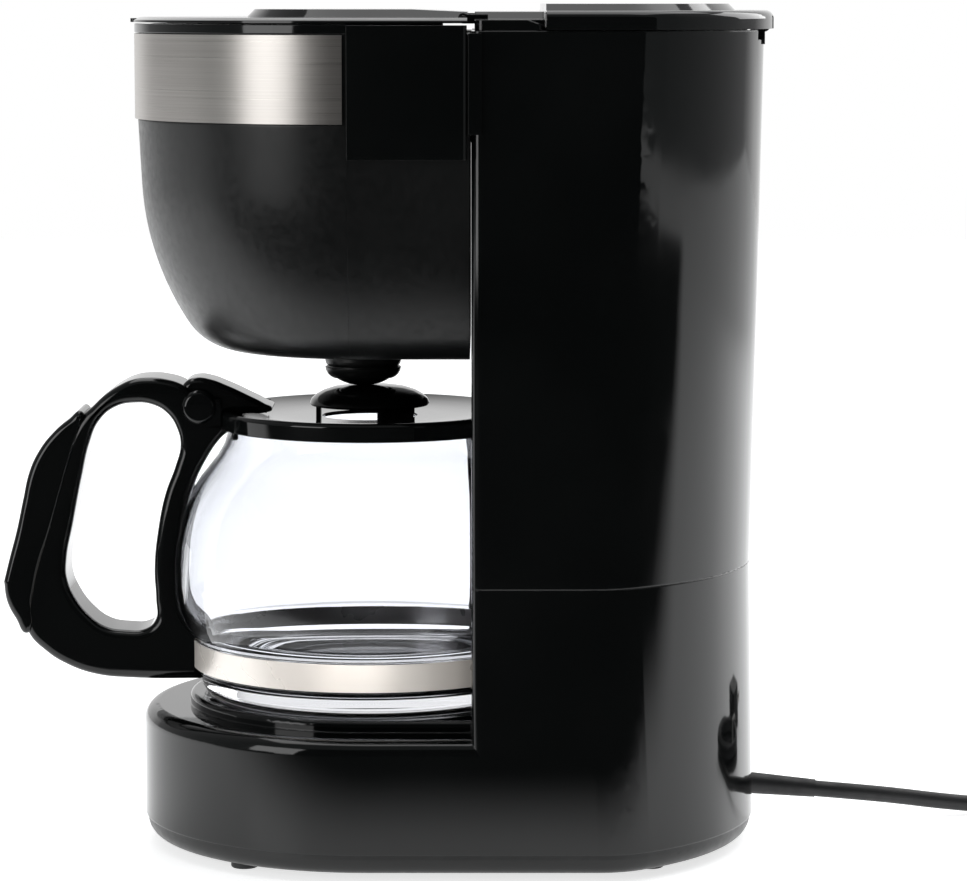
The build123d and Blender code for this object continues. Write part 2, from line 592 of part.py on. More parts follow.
def tank_lid():
    half, radius = HALF + TANK_LID_SIDE, back_radius(SHELL_TOP_Z) + TANK_LID_OVERHANG
    lid = slab(lid_plan(half, radius, TANK_LID_FRONT_Y, BACK_CORNER), TANK_LID_BOTTOM_Z, TANK_LID_RING_Z)
    rim = [e for e in top_edges(lid) if e.center().Y > TANK_LID_FRONT_Y + 1]
    lid = lid.fillet(2.6, rim)
    step = 12.0
    high = TANK_LID_TOP_Z - TANK_LID_RING_Z
    plateau = lid_plan(half - step, radius - step, TANK_LID_FRONT_Y, BACK_CORNER - step)
    top = slab(plateau, TANK_LID_RING_Z - 0.2, TANK_LID_TOP_Z)
    lid += top.chamfer(high, None, [e for e in top_edges(top) if e.center().Y > TANK_LID_FRONT_Y + 1])
    inner = lid_plan(HALF - 6, back_radius(SHELL_TOP_Z) - 9, TANK_LID_FRONT_Y + 4, BACK_CORNER - 8)
    lid -= slab(inner, TANK_LID_BOTTOM_Z - 1, TANK_LID_RING_Z - 2.2)
    for side in (-1, 1):
        x0, x1 = sorted((side * (TANK_EAR_X - 3.2), side * (TANK_EAR_X + 3.2)))
        lid -= box(x0, x1, TANK_HINGE_Y - 3.4, TANK_HINGE_Y + 6, TANK_LID_BOTTOM_Z - 1, TANK_HINGE_Z + 2.8)
    knuckle = TANK_EAR_X - 3.2
    lid += rod_x(-knuckle, knuckle, TANK_HINGE_Y, TANK_HINGE_Z, 2.2)
    return lid - rod_x(-TANK_EAR_X - 3.4, TANK_EAR_X + 3.4, TANK_HINGE_Y, TANK_HINGE_Z, 1.0 + RUNNING)


def tank_lid_pin():
    return rod_x(-TANK_EAR_X - 2.8, TANK_EAR_X + 2.8, TANK_HINGE_Y, TANK_HINGE_Z, 1.0)


# ------------------------------------------------------------------ filter holder
def bowl_outline(inset, top):
    """Half section of the bowl: leaning side, large curve, tighter curve and flat bottom."""
    lean, r0, z0 = radians(BOWL_LEAN), BOWL_RADIUS, BOWL_TOP_Z
    r1 = r0 - (228.0 - BOWL_CURVE_Z) * tan(lean)
    big = BOWL_SIDE_RADIUS
    cx, cz = r1 - big * cos(lean), BOWL_CURVE_Z + big * sin(lean)
    turn = asin((cz - BOWL_TURN_Z) / big)
    small = (BOWL_TURN_Z - BOWL_BOTTOM_Z) / (1 - sin(turn))
    dx, dz = cx + (big - small) * cos(turn), cz - (big - small) * sin(turn)

    def at(centre_r, centre_z, radius, angle):
        return (centre_r + (radius - inset) * cos(angle), centre_z - (radius - inset) * sin(angle))

    a0, a1 = at(cx, cz, big, lean), at(cx, cz, big, turn)
    am, bm = at(cx, cz, big, (lean + turn) / 2), at(dx, dz, small, (turn + pi / 2) / 2)
    b1 = at(dx, dz, small, pi / 2)
    with BuildLine() as side:
        Polyline((0, b1[1]), (0, top), (r0 - inset, top), (r0 - inset, 228.0), a0)
        ThreePointArc(a0, am, a1)
        ThreePointArc(a1, bm, b1)
        Line(b1, (0, b1[1]))
    return make_face(side.edges())


def bowl_solid(inset, top, y_back):
    """Round front half and straight back of the bowl, filled."""
    face = Plane.XZ * bowl_outline(inset, top)
    front = Pos(0, CARAFE_Y, 0) * revolve(face, Axis.Z, -180)
    if front.center().Y > CARAFE_Y:
        front = Pos(0, CARAFE_Y, 0) * revolve(face, Axis.Z, 180)
    half = Pos(0, y_back, 0) * extrude(face, amount=y_back - CARAFE_Y)
    return front + half + mirror(half, Plane.YZ)


def bowl_whole():
    shell = bowl_solid(0, BOWL_TOP_Z, HEAD_BACK_Y)
    shell -= bowl_solid(BOWL_WALL, BOWL_TOP_Z + 1, HEAD_BACK_Y - BOWL_WALL)
    ledge = bowl_solid(BOWL_WALL - 0.2, FUNNEL_TOP_Z - 2, HEAD_BACK_Y - BOWL_WALL + 0.2)
    ledge &= box(-HALF, HALF, -HALF * 2, HALF, FUNNEL_TOP_Z - 4, FUNNEL_TOP_Z - 2)
    ledge -= slab(front_plan(BOWL_RADIUS - 5.5, HEAD_BACK_Y - 5), FUNNEL_TOP_Z - 5, FUNNEL_TOP_Z)
    shell += ledge
    half = ARM_HALF + 8
    shell -= box(-half, half, CARAFE_Y + 10, HEAD_BACK_Y + 1, ARM_BOTTOM_Z - 1.2, BOWL_TOP_Z + 1)
    shell -= rod(0, VALVE_Y, BOWL_BOTTOM_Z - 1, BOWL_BOTTOM_Z + 5, NOZZLE_RADIUS - 0.8)
    band = front_plan(BOWL_RADIUS + 5, CARAFE_Y + 1) - front_plan(BOWL_RADIUS - BAND_SHEET + 0.3, CARAFE_Y + 1)
    cut = slab(band, BAND_BOTTOM_Z - 0.3, BOWL_TOP_Z + 1)
    return shell - (cut & box(-HALF - 9, HALF + 9, -3 * HALF, BAND_END_Y + 0.3, 0, 400))


def bowl_front():
    return bowl_whole() & box(-HALF - 9, HALF + 9, -3 * HALF, PANEL_FRONT_Y, 0, 400)


def bowl_back():
    part = bowl_whole() & box(-HALF - 9, HALF + 9, PANEL_FRONT_Y, HALF, 0, 400)
    part -= box(-HALF - 9, HINGE_X + 5, HINGE_Y - 5, HALF, 0, 400)
    part += box(HINGE_X, HINGE_X + 7, HINGE_Y - 5.3, HEAD_BACK_Y, KNUCKLE_BOTTOM_Z, KNUCKLE_TOP_Z)
    part -= rod(HINGE_X, HINGE_Y, 0, 400, KNUCKLE_RADIUS + 0.02)
    return part


def trim_band():
    outer = BOWL_RADIUS + 0.3 + BAND_SHEET
    ring = front_plan(outer, CARAFE_Y + 1) - front_plan(BOWL_RADIUS + 0.3, CARAFE_Y + 1)
    ring = slab(ring, BAND_BOTTOM_Z, BAND_TOP_Z)
    return ring & box(-HALF - 9, HALF + 9, -3 * HALF, BAND_END_Y, 0, 400)


def holder_rim():
    """Glossy ring on the bowl's edge, with a stile beside each end of the band."""
    plan = front_plan(RIM_RADIUS, CARAFE_Y + 8) - front_plan(BOWL_RADIUS - 4, CARAFE_Y + 9)
    ring = slab(plan, BOWL_TOP_Z, RIM_TOP_Z)
    return ring & box(-HALF - 9, HALF + 9, -3 * HALF, PANEL_FRONT_Y, 0, 400)


def side_panels():
    """Glossy blocks on both sides of the bowl; the left one carries the hinge knuckle."""
    made = []
    for side in (-1, 1):
        x0, x1 = sorted((side * BOWL_RADIUS, side * PANEL_X))
        panel = box(x0, x1, PANEL_FRONT_Y, PANEL_BACK_Y, PANEL_BOTTOM_Z, BOWL_TOP_Z)
        x0, x1 = sorted((side * (BOWL_RADIUS - 3), side * PANEL_X))
        panel += box(x0, x1, PANEL_FRONT_Y, PANEL_BACK_Y, BOWL_TOP_Z, PANEL_TOP_Z)
        if side < 0:
            panel -= box(-HALF - 9, HINGE_X + 9, HINGE_Y, HALF, 0, 400)
            for z0, z1 in ((0, KNUCKLE_BOTTOM_Z), (KNUCKLE_TOP_Z, 400)):
                panel -= box(-HALF - 9, HINGE_X + 9, HINGE_Y - KNUCKLE_RADIUS - 0.4, HALF, z0, z1)
            panel += rod(HINGE_X, HINGE_Y, KNUCKLE_BOTTOM_Z, KNUCKLE_TOP_Z, KNUCKLE_RADIUS)
            panel -= rod(HINGE_X, HINGE_Y, 0, 400, HOLDER_PIN_RADIUS + RUNNING)
        else:
            edges = [e for e in upright(panel.edges()) if e.center().Y > PANEL_BACK_Y - 1]
            panel = panel.fillet(1.7, [e for e in edges if e.center().X > PANEL_X - 1])
        made.append(panel)
    return Compound(children=made)


def hinge_post():
    """Upright on the tower's left corner, with an ear above and below the holder's knuckle."""
    z0, z1 = PANEL_BOTTOM_Z, SHELL_TOP_Z - 0.6
    ear_half = KNUCKLE_RADIUS - 0.4
    post = Part()
    for low, high in ((z0, KNUCKLE_BOTTOM_Z - 0.35), (KNUCKLE_TOP_Z + 0.35, z1)):
        ear = rod(HINGE_X, HINGE_Y, low, high, ear_half)
        post += ear + box(HINGE_X - ear_half, HINGE_X + ear_half, HINGE_Y, TOWER_FRONT_Y, low, high)
    edge = box(-PANEL_X + 1.0, 0.02 - HALF + FRONT_CORNER, TOWER_FRONT_Y, TOWER_FRONT_Y + 3, z0, z1)
    post += edge - tower_block(SEAM_Z, SHELL_TOP_Z, TOWER_FRONT_Y, 0)
    return post - rod(HINGE_X, HINGE_Y, z0 + 2, z1 + 1, HOLDER_PIN_RADIUS)


def catch_post():
    """Narrow block on the tower's right corner that the holder snaps against."""
    x0, x1, z1 = HALF - FRONT_CORNER, PANEL_X - 0.8, SHELL_TOP_Z - 0.6
    block = box(x0, x1, PANEL_BACK_Y + 0.5, TOWER_FRONT_Y + 3, KNUCKLE_BOTTOM_Z, z1)
    block -= tower_block(SEAM_Z, SHELL_TOP_Z, TOWER_FRONT_Y, 0)
    return block - box(0, HALF + 0.6, 0, HEAD_BACK_Y + 0.35, 0, 400)


def holder_pin():
    return rod(HINGE_X, HINGE_Y, PANEL_BOTTOM_Z + 2, SHELL_TOP_Z - 0.6, HOLDER_PIN_RADIUS)


def oval(half_x, half_y, y, z):
    return Pos(0, y, z) * Ellipse(half_x, half_y)


def funnel_solid(inset, z0, z1):
    """The funnel's slanting cone, from its oval mouth to the round outlet, filled."""
    mouth = oval(FUNNEL_SIZE[0] - inset, FUNNEL_SIZE[1] - inset, FUNNEL_Y, z1)
    outlet = oval(NOZZLE_RADIUS + 1 - inset, NOZZLE_RADIUS + 0.98 - inset, VALVE_Y, z0)
    return loft([outlet, mouth], ruled=True)


def filter_funnel():
    top = FUNNEL_TOP_Z
    body = funnel_solid(0, FUNNEL_OUTLET_Z, top)
    flange = front_plan(BOWL_RADIUS - BOWL_WALL - 0.8, HEAD_BACK_Y - BOWL_WALL - 0.8)
    body += slab(flange, top - 2, top) - box(-HALF, HINGE_X + 8, HINGE_Y - 7, HALF, 0, 400)
    body -= funnel_solid(FUNNEL_WALL, FUNNEL_OUTLET_Z + 2, top + 0.01)
    nozzle = rod(0, VALVE_Y, NOZZLE_BOTTOM_Z, FUNNEL_OUTLET_Z + 0.5, NOZZLE_RADIUS - 0.8)
    collar = rod(0, VALVE_Y, NOZZLE_BOTTOM_Z, BOWL_BOTTOM_Z, NOZZLE_RADIUS)
    nozzle += collar.fillet(2.2, bottom_edges(collar))
    body += nozzle - rod(0, VALVE_Y, NOZZLE_BOTTOM_Z - 1, FUNNEL_OUTLET_Z, VALVE_RADIUS + 0.3)
    return body - rod(0, VALVE_Y, 0, 400, 3.4)


def mesh_filter():
    """Fine nylon cone in a moulded rim, which holds the ground coffee."""
    gap = FUNNEL_WALL + 1.2
    z0, z1 = FUNNEL_OUTLET_Z + 13, FUNNEL_TOP_Z
    full = funnel_solid(gap, FUNNEL_OUTLET_Z + 2, z1) & box(-99, 99, -99, 99, z0, z1)
    inner = funnel_solid(gap + 1.0, FUNNEL_OUTLET_Z + 2, z1 + 0.01) & box(-99, 99, -99, 99, z0 + 1, z1 + 1)
    rim = slab(Pos(0, FUNNEL_Y) * Ellipse(FUNNEL_SIZE[0] + 2, FUNNEL_SIZE[1] + 0.5), z1, z1 + 1.4)
    rim -= slab(Pos(0, FUNNEL_Y) * Ellipse(FUNNEL_SIZE[0] - 5, FUNNEL_SIZE[1] - 5), z1 - 1, z1 + 2)
    return full - inner + rim


def valve_plunger():
    """Drip stop: a rounded button that the carafe pushes up, on a stem through the funnel's floor."""
    z0, z1 = VALVE_TIP_Z, NOZZLE_BOTTOM_Z - 0.6
    with BuildLine() as side:
        Polyline((0, z0), (VALVE_TIP_RADIUS, z0))
        ThreePointArc((VALVE_TIP_RADIUS, z0), (VALVE_RADIUS - 1.6, z0 + 1.7), (VALVE_RADIUS, z1))
        Polyline((VALVE_RADIUS, z1), (VALVE_RADIUS, z1 + 2.4), (STEM_RADIUS, z1 + 2.4))
        Polyline((STEM_RADIUS, z1 + 2.4), (STEM_RADIUS, STEM_TOP_Z), (0, STEM_TOP_Z), (0, z0))
    return Pos(0, VALVE_Y, 0) * revolve(Plane.XZ * make_face(side.edges()), Axis.Z)


def valve_seal():
    seal = rod(0, VALVE_Y, FUNNEL_OUTLET_Z + 3.2, STEM_TOP_Z, 6.5)
    seal += rod(0, VALVE_Y, STEM_TOP_Z, STEM_TOP_Z + 1.5, 4.0)
    return seal - rod(0, VALVE_Y, FUNNEL_OUTLET_Z, STEM_TOP_Z, STEM_RADIUS)


def valve_spring():
    z0, z1 = NOZZLE_BOTTOM_Z - 0.6 + 2.4, FUNNEL_OUTLET_Z
    wire, radius = 0.4, 5.6
    coil = Helix(pitch=(z1 - z0 - 2 * wire) / 4, height=z1 - z0 - 2 * wire, radius=radius)
    section = Plane(origin=coil @ 0, z_dir=coil % 0) * Circle(wire)
    return Pos(0, VALVE_Y, z0 + wire) * sweep(section, coil)


# ------------------------------------------------------------------ carafe
def glass_side(inset):
    """Half section of the glass: foot, waist under the steel band, round belly and neck."""
    z0 = CARAFE_Z
    foot, waist, belly, neck = 54.0 - inset, 55.9 - inset, 62.4 - inset, LID_RADIUS - 3.3 - inset
    low, high = CARAFE_BAND_Z
    with BuildLine() as side:
        Polyline((0, z0 + inset), (foot - 3.5, z0 + inset))
        ThreePointArc((foot - 3.5, z0 + inset), (foot - 1.0, z0 + inset + 1.0), (foot, z0 + 3.5))
        Polyline((foot, z0 + 3.5), (waist, low - 0.6), (waist, high + 0.2))
        ThreePointArc((waist, high + 0.2), (belly - 1.5, 69.5), (belly, 80.0))
        ThreePointArc((belly, 80.0), (belly - 1.6, 101.5), (neck + 7.6, 118.4))
        ThreePointArc((neck + 7.6, 118.4), (neck + 2.3, 125.6), (neck, LID_RIM_Z[0] + 3))
        Polyline((neck, LID_RIM_Z[0] + 3), (0, LID_RIM_Z[0] + 3), (0, z0 + inset))
    return make_face(side.edges())


def carafe_glass():
    outer = revolve(Plane.XZ * glass_side(0), Axis.Z)
    inner = revolve(Plane.XZ * glass_side(GLASS_WALL), Axis.Z)
    return Pos(0, CARAFE_Y, 0) * (outer - inner)


def carafe_band():
    low, high = CARAFE_BAND_Z
    ring = rod(0, CARAFE_Y, low, high, BAND_RADIUS) - rod(0, CARAFE_Y, low - 1, high + 1, 55.9)
    y = CARAFE_Y - BAND_RADIUS
    lug = box(-4.5, 4.5, y - 4.5, y + 0.6, low + 0.4, high - 0.4)
    return ring + (lug - rod_x(-9, 9, y - 2.4, (low + high) / 2, 1.2))


def band_screw():
    y, z = CARAFE_Y - BAND_RADIUS - 2.4, sum(CARAFE_BAND_Z) / 2
    return rod_x(-4.5, 4.5, y, z, 1.2) + rod_x(4.5, 6.5, y, z, 2.4)


OUTER_LOOP = [
    (-60.5, 143.2), (-78.9, 146.5), (-102.5, 132), (-114.7, 112.8), (-121.9, 80.5), (-114.7, 61.8), (-93, 51.6),
]
INNER_LOOP = [
    (-80, 139), (-69.5, 134), (-66.6, 124), (-72.9, 88), (-73.5, 74),
    (-79, 69), (-94, 71.5), (-101.6, 84), (-97.7, 106.4), (-92.5, 131),
]


def handle_outline():
    """Side view of the handle: outer curve, flat foot on the steel band, arm beside the glass."""
    low, high = CARAFE_BAND_Z
    front = CARAFE_Y - BAND_RADIUS
    with BuildLine() as edge:
        Spline(*OUTER_LOOP)
        Polyline(OUTER_LOOP[-1], (front, 51.4), (front, high))
        Spline((front, high), (-69.0, 74.0), (-68.9, 84.0), (-67.4, 104.0), (-61.9, 122.0), (-55.0, 131.0))
        Polyline((-55.0, 131.0), (-54.0, 140.0), OUTER_LOOP[0])
    return make_face(edge.edges())


def handle_hole():
    with BuildLine() as edge:
        Spline(*INNER_LOOP, periodic=True)
    return make_face(edge.edges())


def handle_block():
    """The loop of the handle, before the grip's outer shell is parted from it."""
    face = Plane.YZ * (handle_outline() - handle_hole())
    return Pos(-HANDLE_HALF, 0, 0) * extrude(face, amount=2 * HANDLE_HALF)


def grip_parting():
    """The region of the outer shell of the grip, in side view."""
    inner = [(-93.5, 137.5), (-98.5, 128), (-106.5, 108), (-112.0, 86), (-117, 68)]
    with BuildLine() as edge:
        Spline(*inner)
        Polyline(inner[-1], (-140, 60), (-140, 150), (-93.5, 150), inner[0])
    return make_face(edge.edges())


def carafe_handle():
    low, high = CARAFE_BAND_Z
    y = CARAFE_Y - BAND_RADIUS
    region = Pos(-20, 0, 0) * extrude(Plane.YZ * grip_parting(), amount=40)
    body = handle_block() - region
    body -= rod(0, CARAFE_Y, 0, high + 0.2, BAND_RADIUS)
    body -= Pos(0, CARAFE_Y, 0) * revolve(Plane.XZ * glass_side(-GLASS_GAP), Axis.Z)
    body -= box(-4.6, 4.6, y - 4.6, y + 2, low - 0.3, high + 0.4)
    body -= rod_x(-12, 12, y - 2.4, (low + high) / 2, 1.2) + rod_x(4.5, 12, y - 2.4, (low + high) / 2, 2.5)
    body -= rod(0, CARAFE_Y, LID_RIM_Z[0] - 0.4, 150, LID_RADIUS + 0.4)
    slot = LEVER_HALF + 0.3
    body -= box(-slot, slot, BOSS_Y - 5, BOSS_Y + 30, BOSS_Z - 5.4, 160)
    for side in (-1, 1):
        x0, x1 = sorted((side * slot, side * HANDLE_HALF))
        body += rod_x(x0, x1, BOSS_Y, BOSS_Z, BOSS_RADIUS)
    return body - rod_x(-12, 12, BOSS_Y, BOSS_Z, LID_PIN_RADIUS)


def handle_grip():
    region = Pos(-20, 0, 0) * extrude(Plane.YZ * grip_parting(), amount=40)
    return handle_block() & region


def carafe_lid():
    """Round lid: rim round the glass, shallow cone up to the posts under the flow cap, thumb lever in front."""
    low, high = LID_RIM_Z
    skirt = LID_RADIUS - 2.0
    lid = turned([
        (0, low + 3.2), (skirt, low + 3.2), (skirt, low), (LID_RADIUS, low), (LID_RADIUS, high - 1.2),
        (LID_RADIUS - 1.2, high), (20, high + 1.6), (20, high + 0.2), (0, high + 0.2),
    ])
    lid -= rod(0, CARAFE_Y, low, 160, 15.0)
    for i in range(6):
        a = radians(30 + 60 * i)
        lid += rod(17 * cos(a), CARAFE_Y + 17 * sin(a), high - 1, DOME_TOP_Z - 6.4, 1.6)
    root = BOSS_Y + 19.0
    lever = Polyline(
        (BOSS_Y - 3.8, BOSS_Z + 1.2), (BOSS_Y - 5.0, LEVER_TOP_Z), (BOSS_Y + 2.0, LEVER_TOP_Z),
        (root, high + 1.0), (root, high - 1.0), (BOSS_Y + 3, BOSS_Z - 1), close=True,
    )
    lid += Pos(-LEVER_HALF, 0, 0) * extrude(Plane.YZ * make_face(lever), amount=2 * LEVER_HALF)
    lid += rod_x(-LEVER_HALF, LEVER_HALF, BOSS_Y, BOSS_Z, BOSS_RADIUS)
    return lid - rod_x(-LEVER_HALF - 1, LEVER_HALF + 1, BOSS_Y, BOSS_Z, LID_PIN_RADIUS)


def flow_cap():
    """Dome over the lid's middle that the drip stop rests on, with a short spout down through the lid."""
    z = DOME_TOP_Z - 6.4
    with BuildLine() as side:
        ThreePointArc((0, DOME_TOP_Z), (DOME_RADIUS * 0.6, DOME_TOP_Z - 1.9), (DOME_RADIUS, z + 0.9))
        Polyline((DOME_RADIUS, z + 0.9), (DOME_RADIUS, z), (15.2, z), (0, z), (0, DOME_TOP_Z))
    return Pos(0, CARAFE_Y, 0) * revolve(Plane.XZ * make_face(side.edges()), Axis.Z)


def carafe_lid_pin():
    return rod_x(-HANDLE_HALF, HANDLE_HALF, BOSS_Y, BOSS_Z, LID_PIN_RADIUS)


# ------------------------------------------------------------------ switch
def switch_bezel():
    def block(x0, x1, more):
        y, z = SWITCH_SIZE[0] / 2 + more, SWITCH_SIZE[1] / 2 + more
        return box(x0 - HALF, x1 - HALF, SWITCH_Y - y, SWITCH_Y + y, SWITCH_Z - z, SWITCH_Z + z)

    return block(-0.9, 0, 1.5) + block(0, 12, 0) - block(-2, 6, -1.2)


def rocker():
    """Rocker of the power switch, pressed in at the bottom when it is off."""
    y, z = SWITCH_SIZE[0] / 2 - 1.5, SWITCH_SIZE[1] / 2 - 1.9
    pivot = ROCKER_DEPTH - HALF
    face = Polyline(
        (-HALF - 1.4, SWITCH_Z + z), (-HALF - 0.3, SWITCH_Z), (-HALF - 1.4, SWITCH_Z - z),
        (pivot + 1, SWITCH_Z - z + 4), (pivot + 1, SWITCH_Z + z - 4), close=True,
    )
    body = Pos(0, SWITCH_Y + y, 0) * extrude(Plane.XZ * make_face(face), amount=2 * y)
    body -= rod_y(pivot, SWITCH_Y - 9, SWITCH_Y + 9, SWITCH_Z, 1.0 + RUNNING)
    return Pos(pivot, 0, SWITCH_Z) * Rot(0, ROCKER_TILT, 0) * Pos(-pivot, 0, -SWITCH_Z) * body


def rocker_pin():
    y = SWITCH_SIZE[0] / 2 - 1.2
    return rod_y(ROCKER_DEPTH - HALF, SWITCH_Y - y, SWITCH_Y + y, SWITCH_Z, 1.0)


# ------------------------------------------------------------------ cord
def strain_relief():
    """Rubber sleeve held in the back wall, tapering along the cord."""
    thick, thin = CORD_DIAMETER / 2 + 1.0, CORD_DIAMETER / 2 + 0.3
    neck = rod_y(EXIT_X, EXIT_Y - WALL - 4, EXIT_Y + 1, EXIT_Z, thick)
    neck += rod_y(EXIT_X, EXIT_Y - WALL - 4, EXIT_Y - WALL - 1.6, EXIT_Z, thick + 1.4)
    way = Vector(0, RELIEF_LENGTH, -RELIEF_DROP)
    middle = Vector(EXIT_X, EXIT_Y, EXIT_Z) + way / 2
    return neck + Plane(origin=middle, z_dir=way) * Cone(thick, thin, way.length)


EXIT_Y = BACK_CENTRE_Y + sqrt(back_radius(EXIT_Z) ** 2 - EXIT_X**2)
RELIEF_DROP = 2.1
LAID_Z = CORD_DIAMETER / 2 + FLOOR_CLEARANCE
TURN_X = COIL_X + COIL_MEAN_RADIUS + CORD_DIAMETER / 2
CORD_ROUTE = [
    (EXIT_X, EXIT_Y + RELIEF_LENGTH, EXIT_Z - RELIEF_DROP),
    (-18.6, 152.0, 9.0),
    (-20.8, 166.0, 7.2),
    (-24.0, 180.0, 4.8),
    (-28.0, 195.0, LAID_Z),
    (-30.6, 212.0, LAID_Z),
    (TURN_X, 230.0, LAID_Z),
]
TAIL_Y = COIL_Y + COIL_MEAN_RADIUS + CORD_DIAMETER / 2


def corner_radii(points):
    """The largest arc that each corner's two runs leave room for."""
    runs = [Vector(*b) - Vector(*a) for a, b in zip(points, points[1:])]
    radii = []
    for first, second in zip(runs, runs[1:]):
        half_turn = radians(first.get_angle(second)) / 2
        radii.append(0.45 * min(first.length, second.length) / tan(half_turn))
    return radii


def cord():
    """The lead from the strain relief to its coil, and the short tail from the coil to the plug."""
    radii = corner_radii(CORD_ROUTE)
    print("cord bend radii, mm:", [round(r, 1) for r in radii])
    lead = tube(CORD_ROUTE, radii, CORD_DIAMETER / 2)
    tail = rod_x(COIL_X - TAIL_LENGTH, COIL_X, TAIL_Y, LAID_Z, CORD_DIAMETER / 2)
    return Compound(children=[lead, tail])


def cord_coil():
    """Outer shape of the wound lead: two turns side by side, two layers high."""
    outer, inner = COIL_MEAN_RADIUS + CORD_DIAMETER, COIL_MEAN_RADIUS - CORD_DIAMETER
    top = 2 * CORD_DIAMETER + FLOOR_CLEARANCE
    ring = rod(COIL_X, COIL_Y, FLOOR_CLEARANCE, top, outer) - rod(COIL_X, COIL_Y, -1, top + 1, inner)
    return ring.fillet(CORD_DIAMETER / 2 - 0.1, ring.edges().filter_by(GeomType.CIRCLE))


def coil_tie():
    """Paper-covered wire tie round the bundle."""
    w, h = CORD_DIAMETER + 1.6, CORD_DIAMETER + 0.6
    x0, x1 = COIL_X - COIL_MEAN_RADIUS - w, COIL_X - COIL_MEAN_RADIUS + w
    top = 2 * h
    frame = box(x0, x1, COIL_Y - 2, COIL_Y + 2, 0, top)
    return frame - box(x0 + 1, x1 - 1, COIL_Y - 3, COIL_Y + 3, 0.02, top - 1)


PLUG_X = COIL_X - TAIL_LENGTH
PLUG_Z = 8.0


def plug_body():
    """Flat two-pin plug lying beside the coil."""
    sleeve = Rot(0, -90, 0) * Cone(CORD_DIAMETER / 2 + 0.6, CORD_DIAMETER / 2 + 1.6, 18)
    sleeve = Pos(PLUG_X - 9, TAIL_Y, LAID_Z + 1.6) * sleeve
    body = box(PLUG_X - 50, PLUG_X - 16, TAIL_Y - 17, TAIL_Y + 17, 0, 2 * PLUG_Z)
    body = body.fillet(6, upright(body.edges()))
    body = body.fillet(2, top_edges(body) + bottom_edges(body))
    return body + sleeve


def plug_pins():
    made = []
    for side in (-1, 1):
        pin = rod_x(PLUG_X - 69, PLUG_X - 50, TAIL_Y + side * 9.5, PLUG_Z, 2.4)
        made.append(pin.fillet(1.2, pin.faces().sort_by(Axis.X)[0].edges()))
    return Compound(children=made)


NODES = [
    bottom_cover, feet, bottom_screws, lower_shell, warming_plate, plate_seal, heater, heater_clamp,
    clamp_screws, thermostat, thermal_fuse, check_valve, inlet_hose, outlet_hose, riser_tube,
    water_tank, spray_arm, shower_plate, upper_shell, level_window, top_bridge, front_lid,
    front_lid_pins, tank_lid, tank_lid_pin, bowl_front, bowl_back, trim_band, holder_rim,
    side_panels, hinge_post, catch_post, holder_pin, filter_funnel, mesh_filter, valve_plunger,
    valve_seal, valve_spring, carafe_glass, carafe_band, band_screw, carafe_handle, handle_grip,
    carafe_lid, flow_cap, carafe_lid_pin, switch_bezel, rocker, rocker_pin, strain_relief, cord,
    cord_coil, coil_tie, plug_body, plug_pins,
]

for make in NODES:
    export_step(make(), f"parts/{make.__name__}.step")
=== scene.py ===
# %% [markdown]
# # A small drip coffee maker
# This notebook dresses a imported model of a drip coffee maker: a round base with a warming plate, a tower that holds
# the water, a swing-out filter holder with a steel band, and a glass carafe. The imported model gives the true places,
# so every new piece is measured from it. Blender works in metres here, and drawn points are given in millimetres.

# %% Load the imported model
import bpy
import json
from math import cos, pi, radians, sin
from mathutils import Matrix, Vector


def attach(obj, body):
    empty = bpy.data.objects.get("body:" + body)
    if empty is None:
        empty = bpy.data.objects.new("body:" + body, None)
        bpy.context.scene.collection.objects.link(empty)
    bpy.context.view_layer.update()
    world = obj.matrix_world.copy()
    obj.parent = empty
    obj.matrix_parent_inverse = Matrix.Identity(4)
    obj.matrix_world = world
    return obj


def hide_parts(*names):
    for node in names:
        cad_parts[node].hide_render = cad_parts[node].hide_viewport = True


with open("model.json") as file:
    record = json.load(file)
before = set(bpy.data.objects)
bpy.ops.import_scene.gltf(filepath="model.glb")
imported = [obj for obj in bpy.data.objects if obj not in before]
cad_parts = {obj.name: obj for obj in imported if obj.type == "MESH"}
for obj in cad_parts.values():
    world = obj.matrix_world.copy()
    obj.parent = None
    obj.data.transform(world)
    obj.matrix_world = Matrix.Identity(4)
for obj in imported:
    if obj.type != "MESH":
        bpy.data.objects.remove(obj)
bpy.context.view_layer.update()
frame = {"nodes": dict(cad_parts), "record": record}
bpy.ops.object.select_all(action="DESELECT")
nodes = frame["nodes"]

# %% [markdown]
# ## Camera
# The maker is seen from its right side, a little from above. A long lens keeps its proportions calm. The camera could
# be aimed with a constraint, but two plain angles are easier to read: a quarter turn about the upright axis, and a few
# degrees of tilt.

# %% Aim the camera
MM = 0.001
VIEW_PLACE = (1.1819, 0.03064, 0.2656)
VIEW_TILT = radians(6.709)
LENS, SENSOR_WIDTH = 139.4, 36
bpy.ops.object.camera_add(location=VIEW_PLACE, rotation=(pi / 2 - VIEW_TILT, 0, pi / 2))
camera = bpy.context.object
camera.data.lens = LENS
camera.data.sensor_width = SENSOR_WIDTH
camera.data.clip_start = 0.01
bpy.context.scene.camera = camera
bpy.context.scene.view_settings.view_transform = "Standard"
print("camera at", tuple(round(c, 3) for c in camera.location))

# %% [markdown]
# ## Power cord
# The lead is a stiff round cord that leaves the back through a rubber sleeve, sinks to the table and runs off to a
# neat coil with its plug. A curve with a round bevel is the natural tool, because a cord is one length of something
# with one thickness. It is one smooth NURBS line from the sleeve to the plug, the coil's turns included. The lead and
# the short tail at the plug are drawn point by point, and the turns between them are worked out.

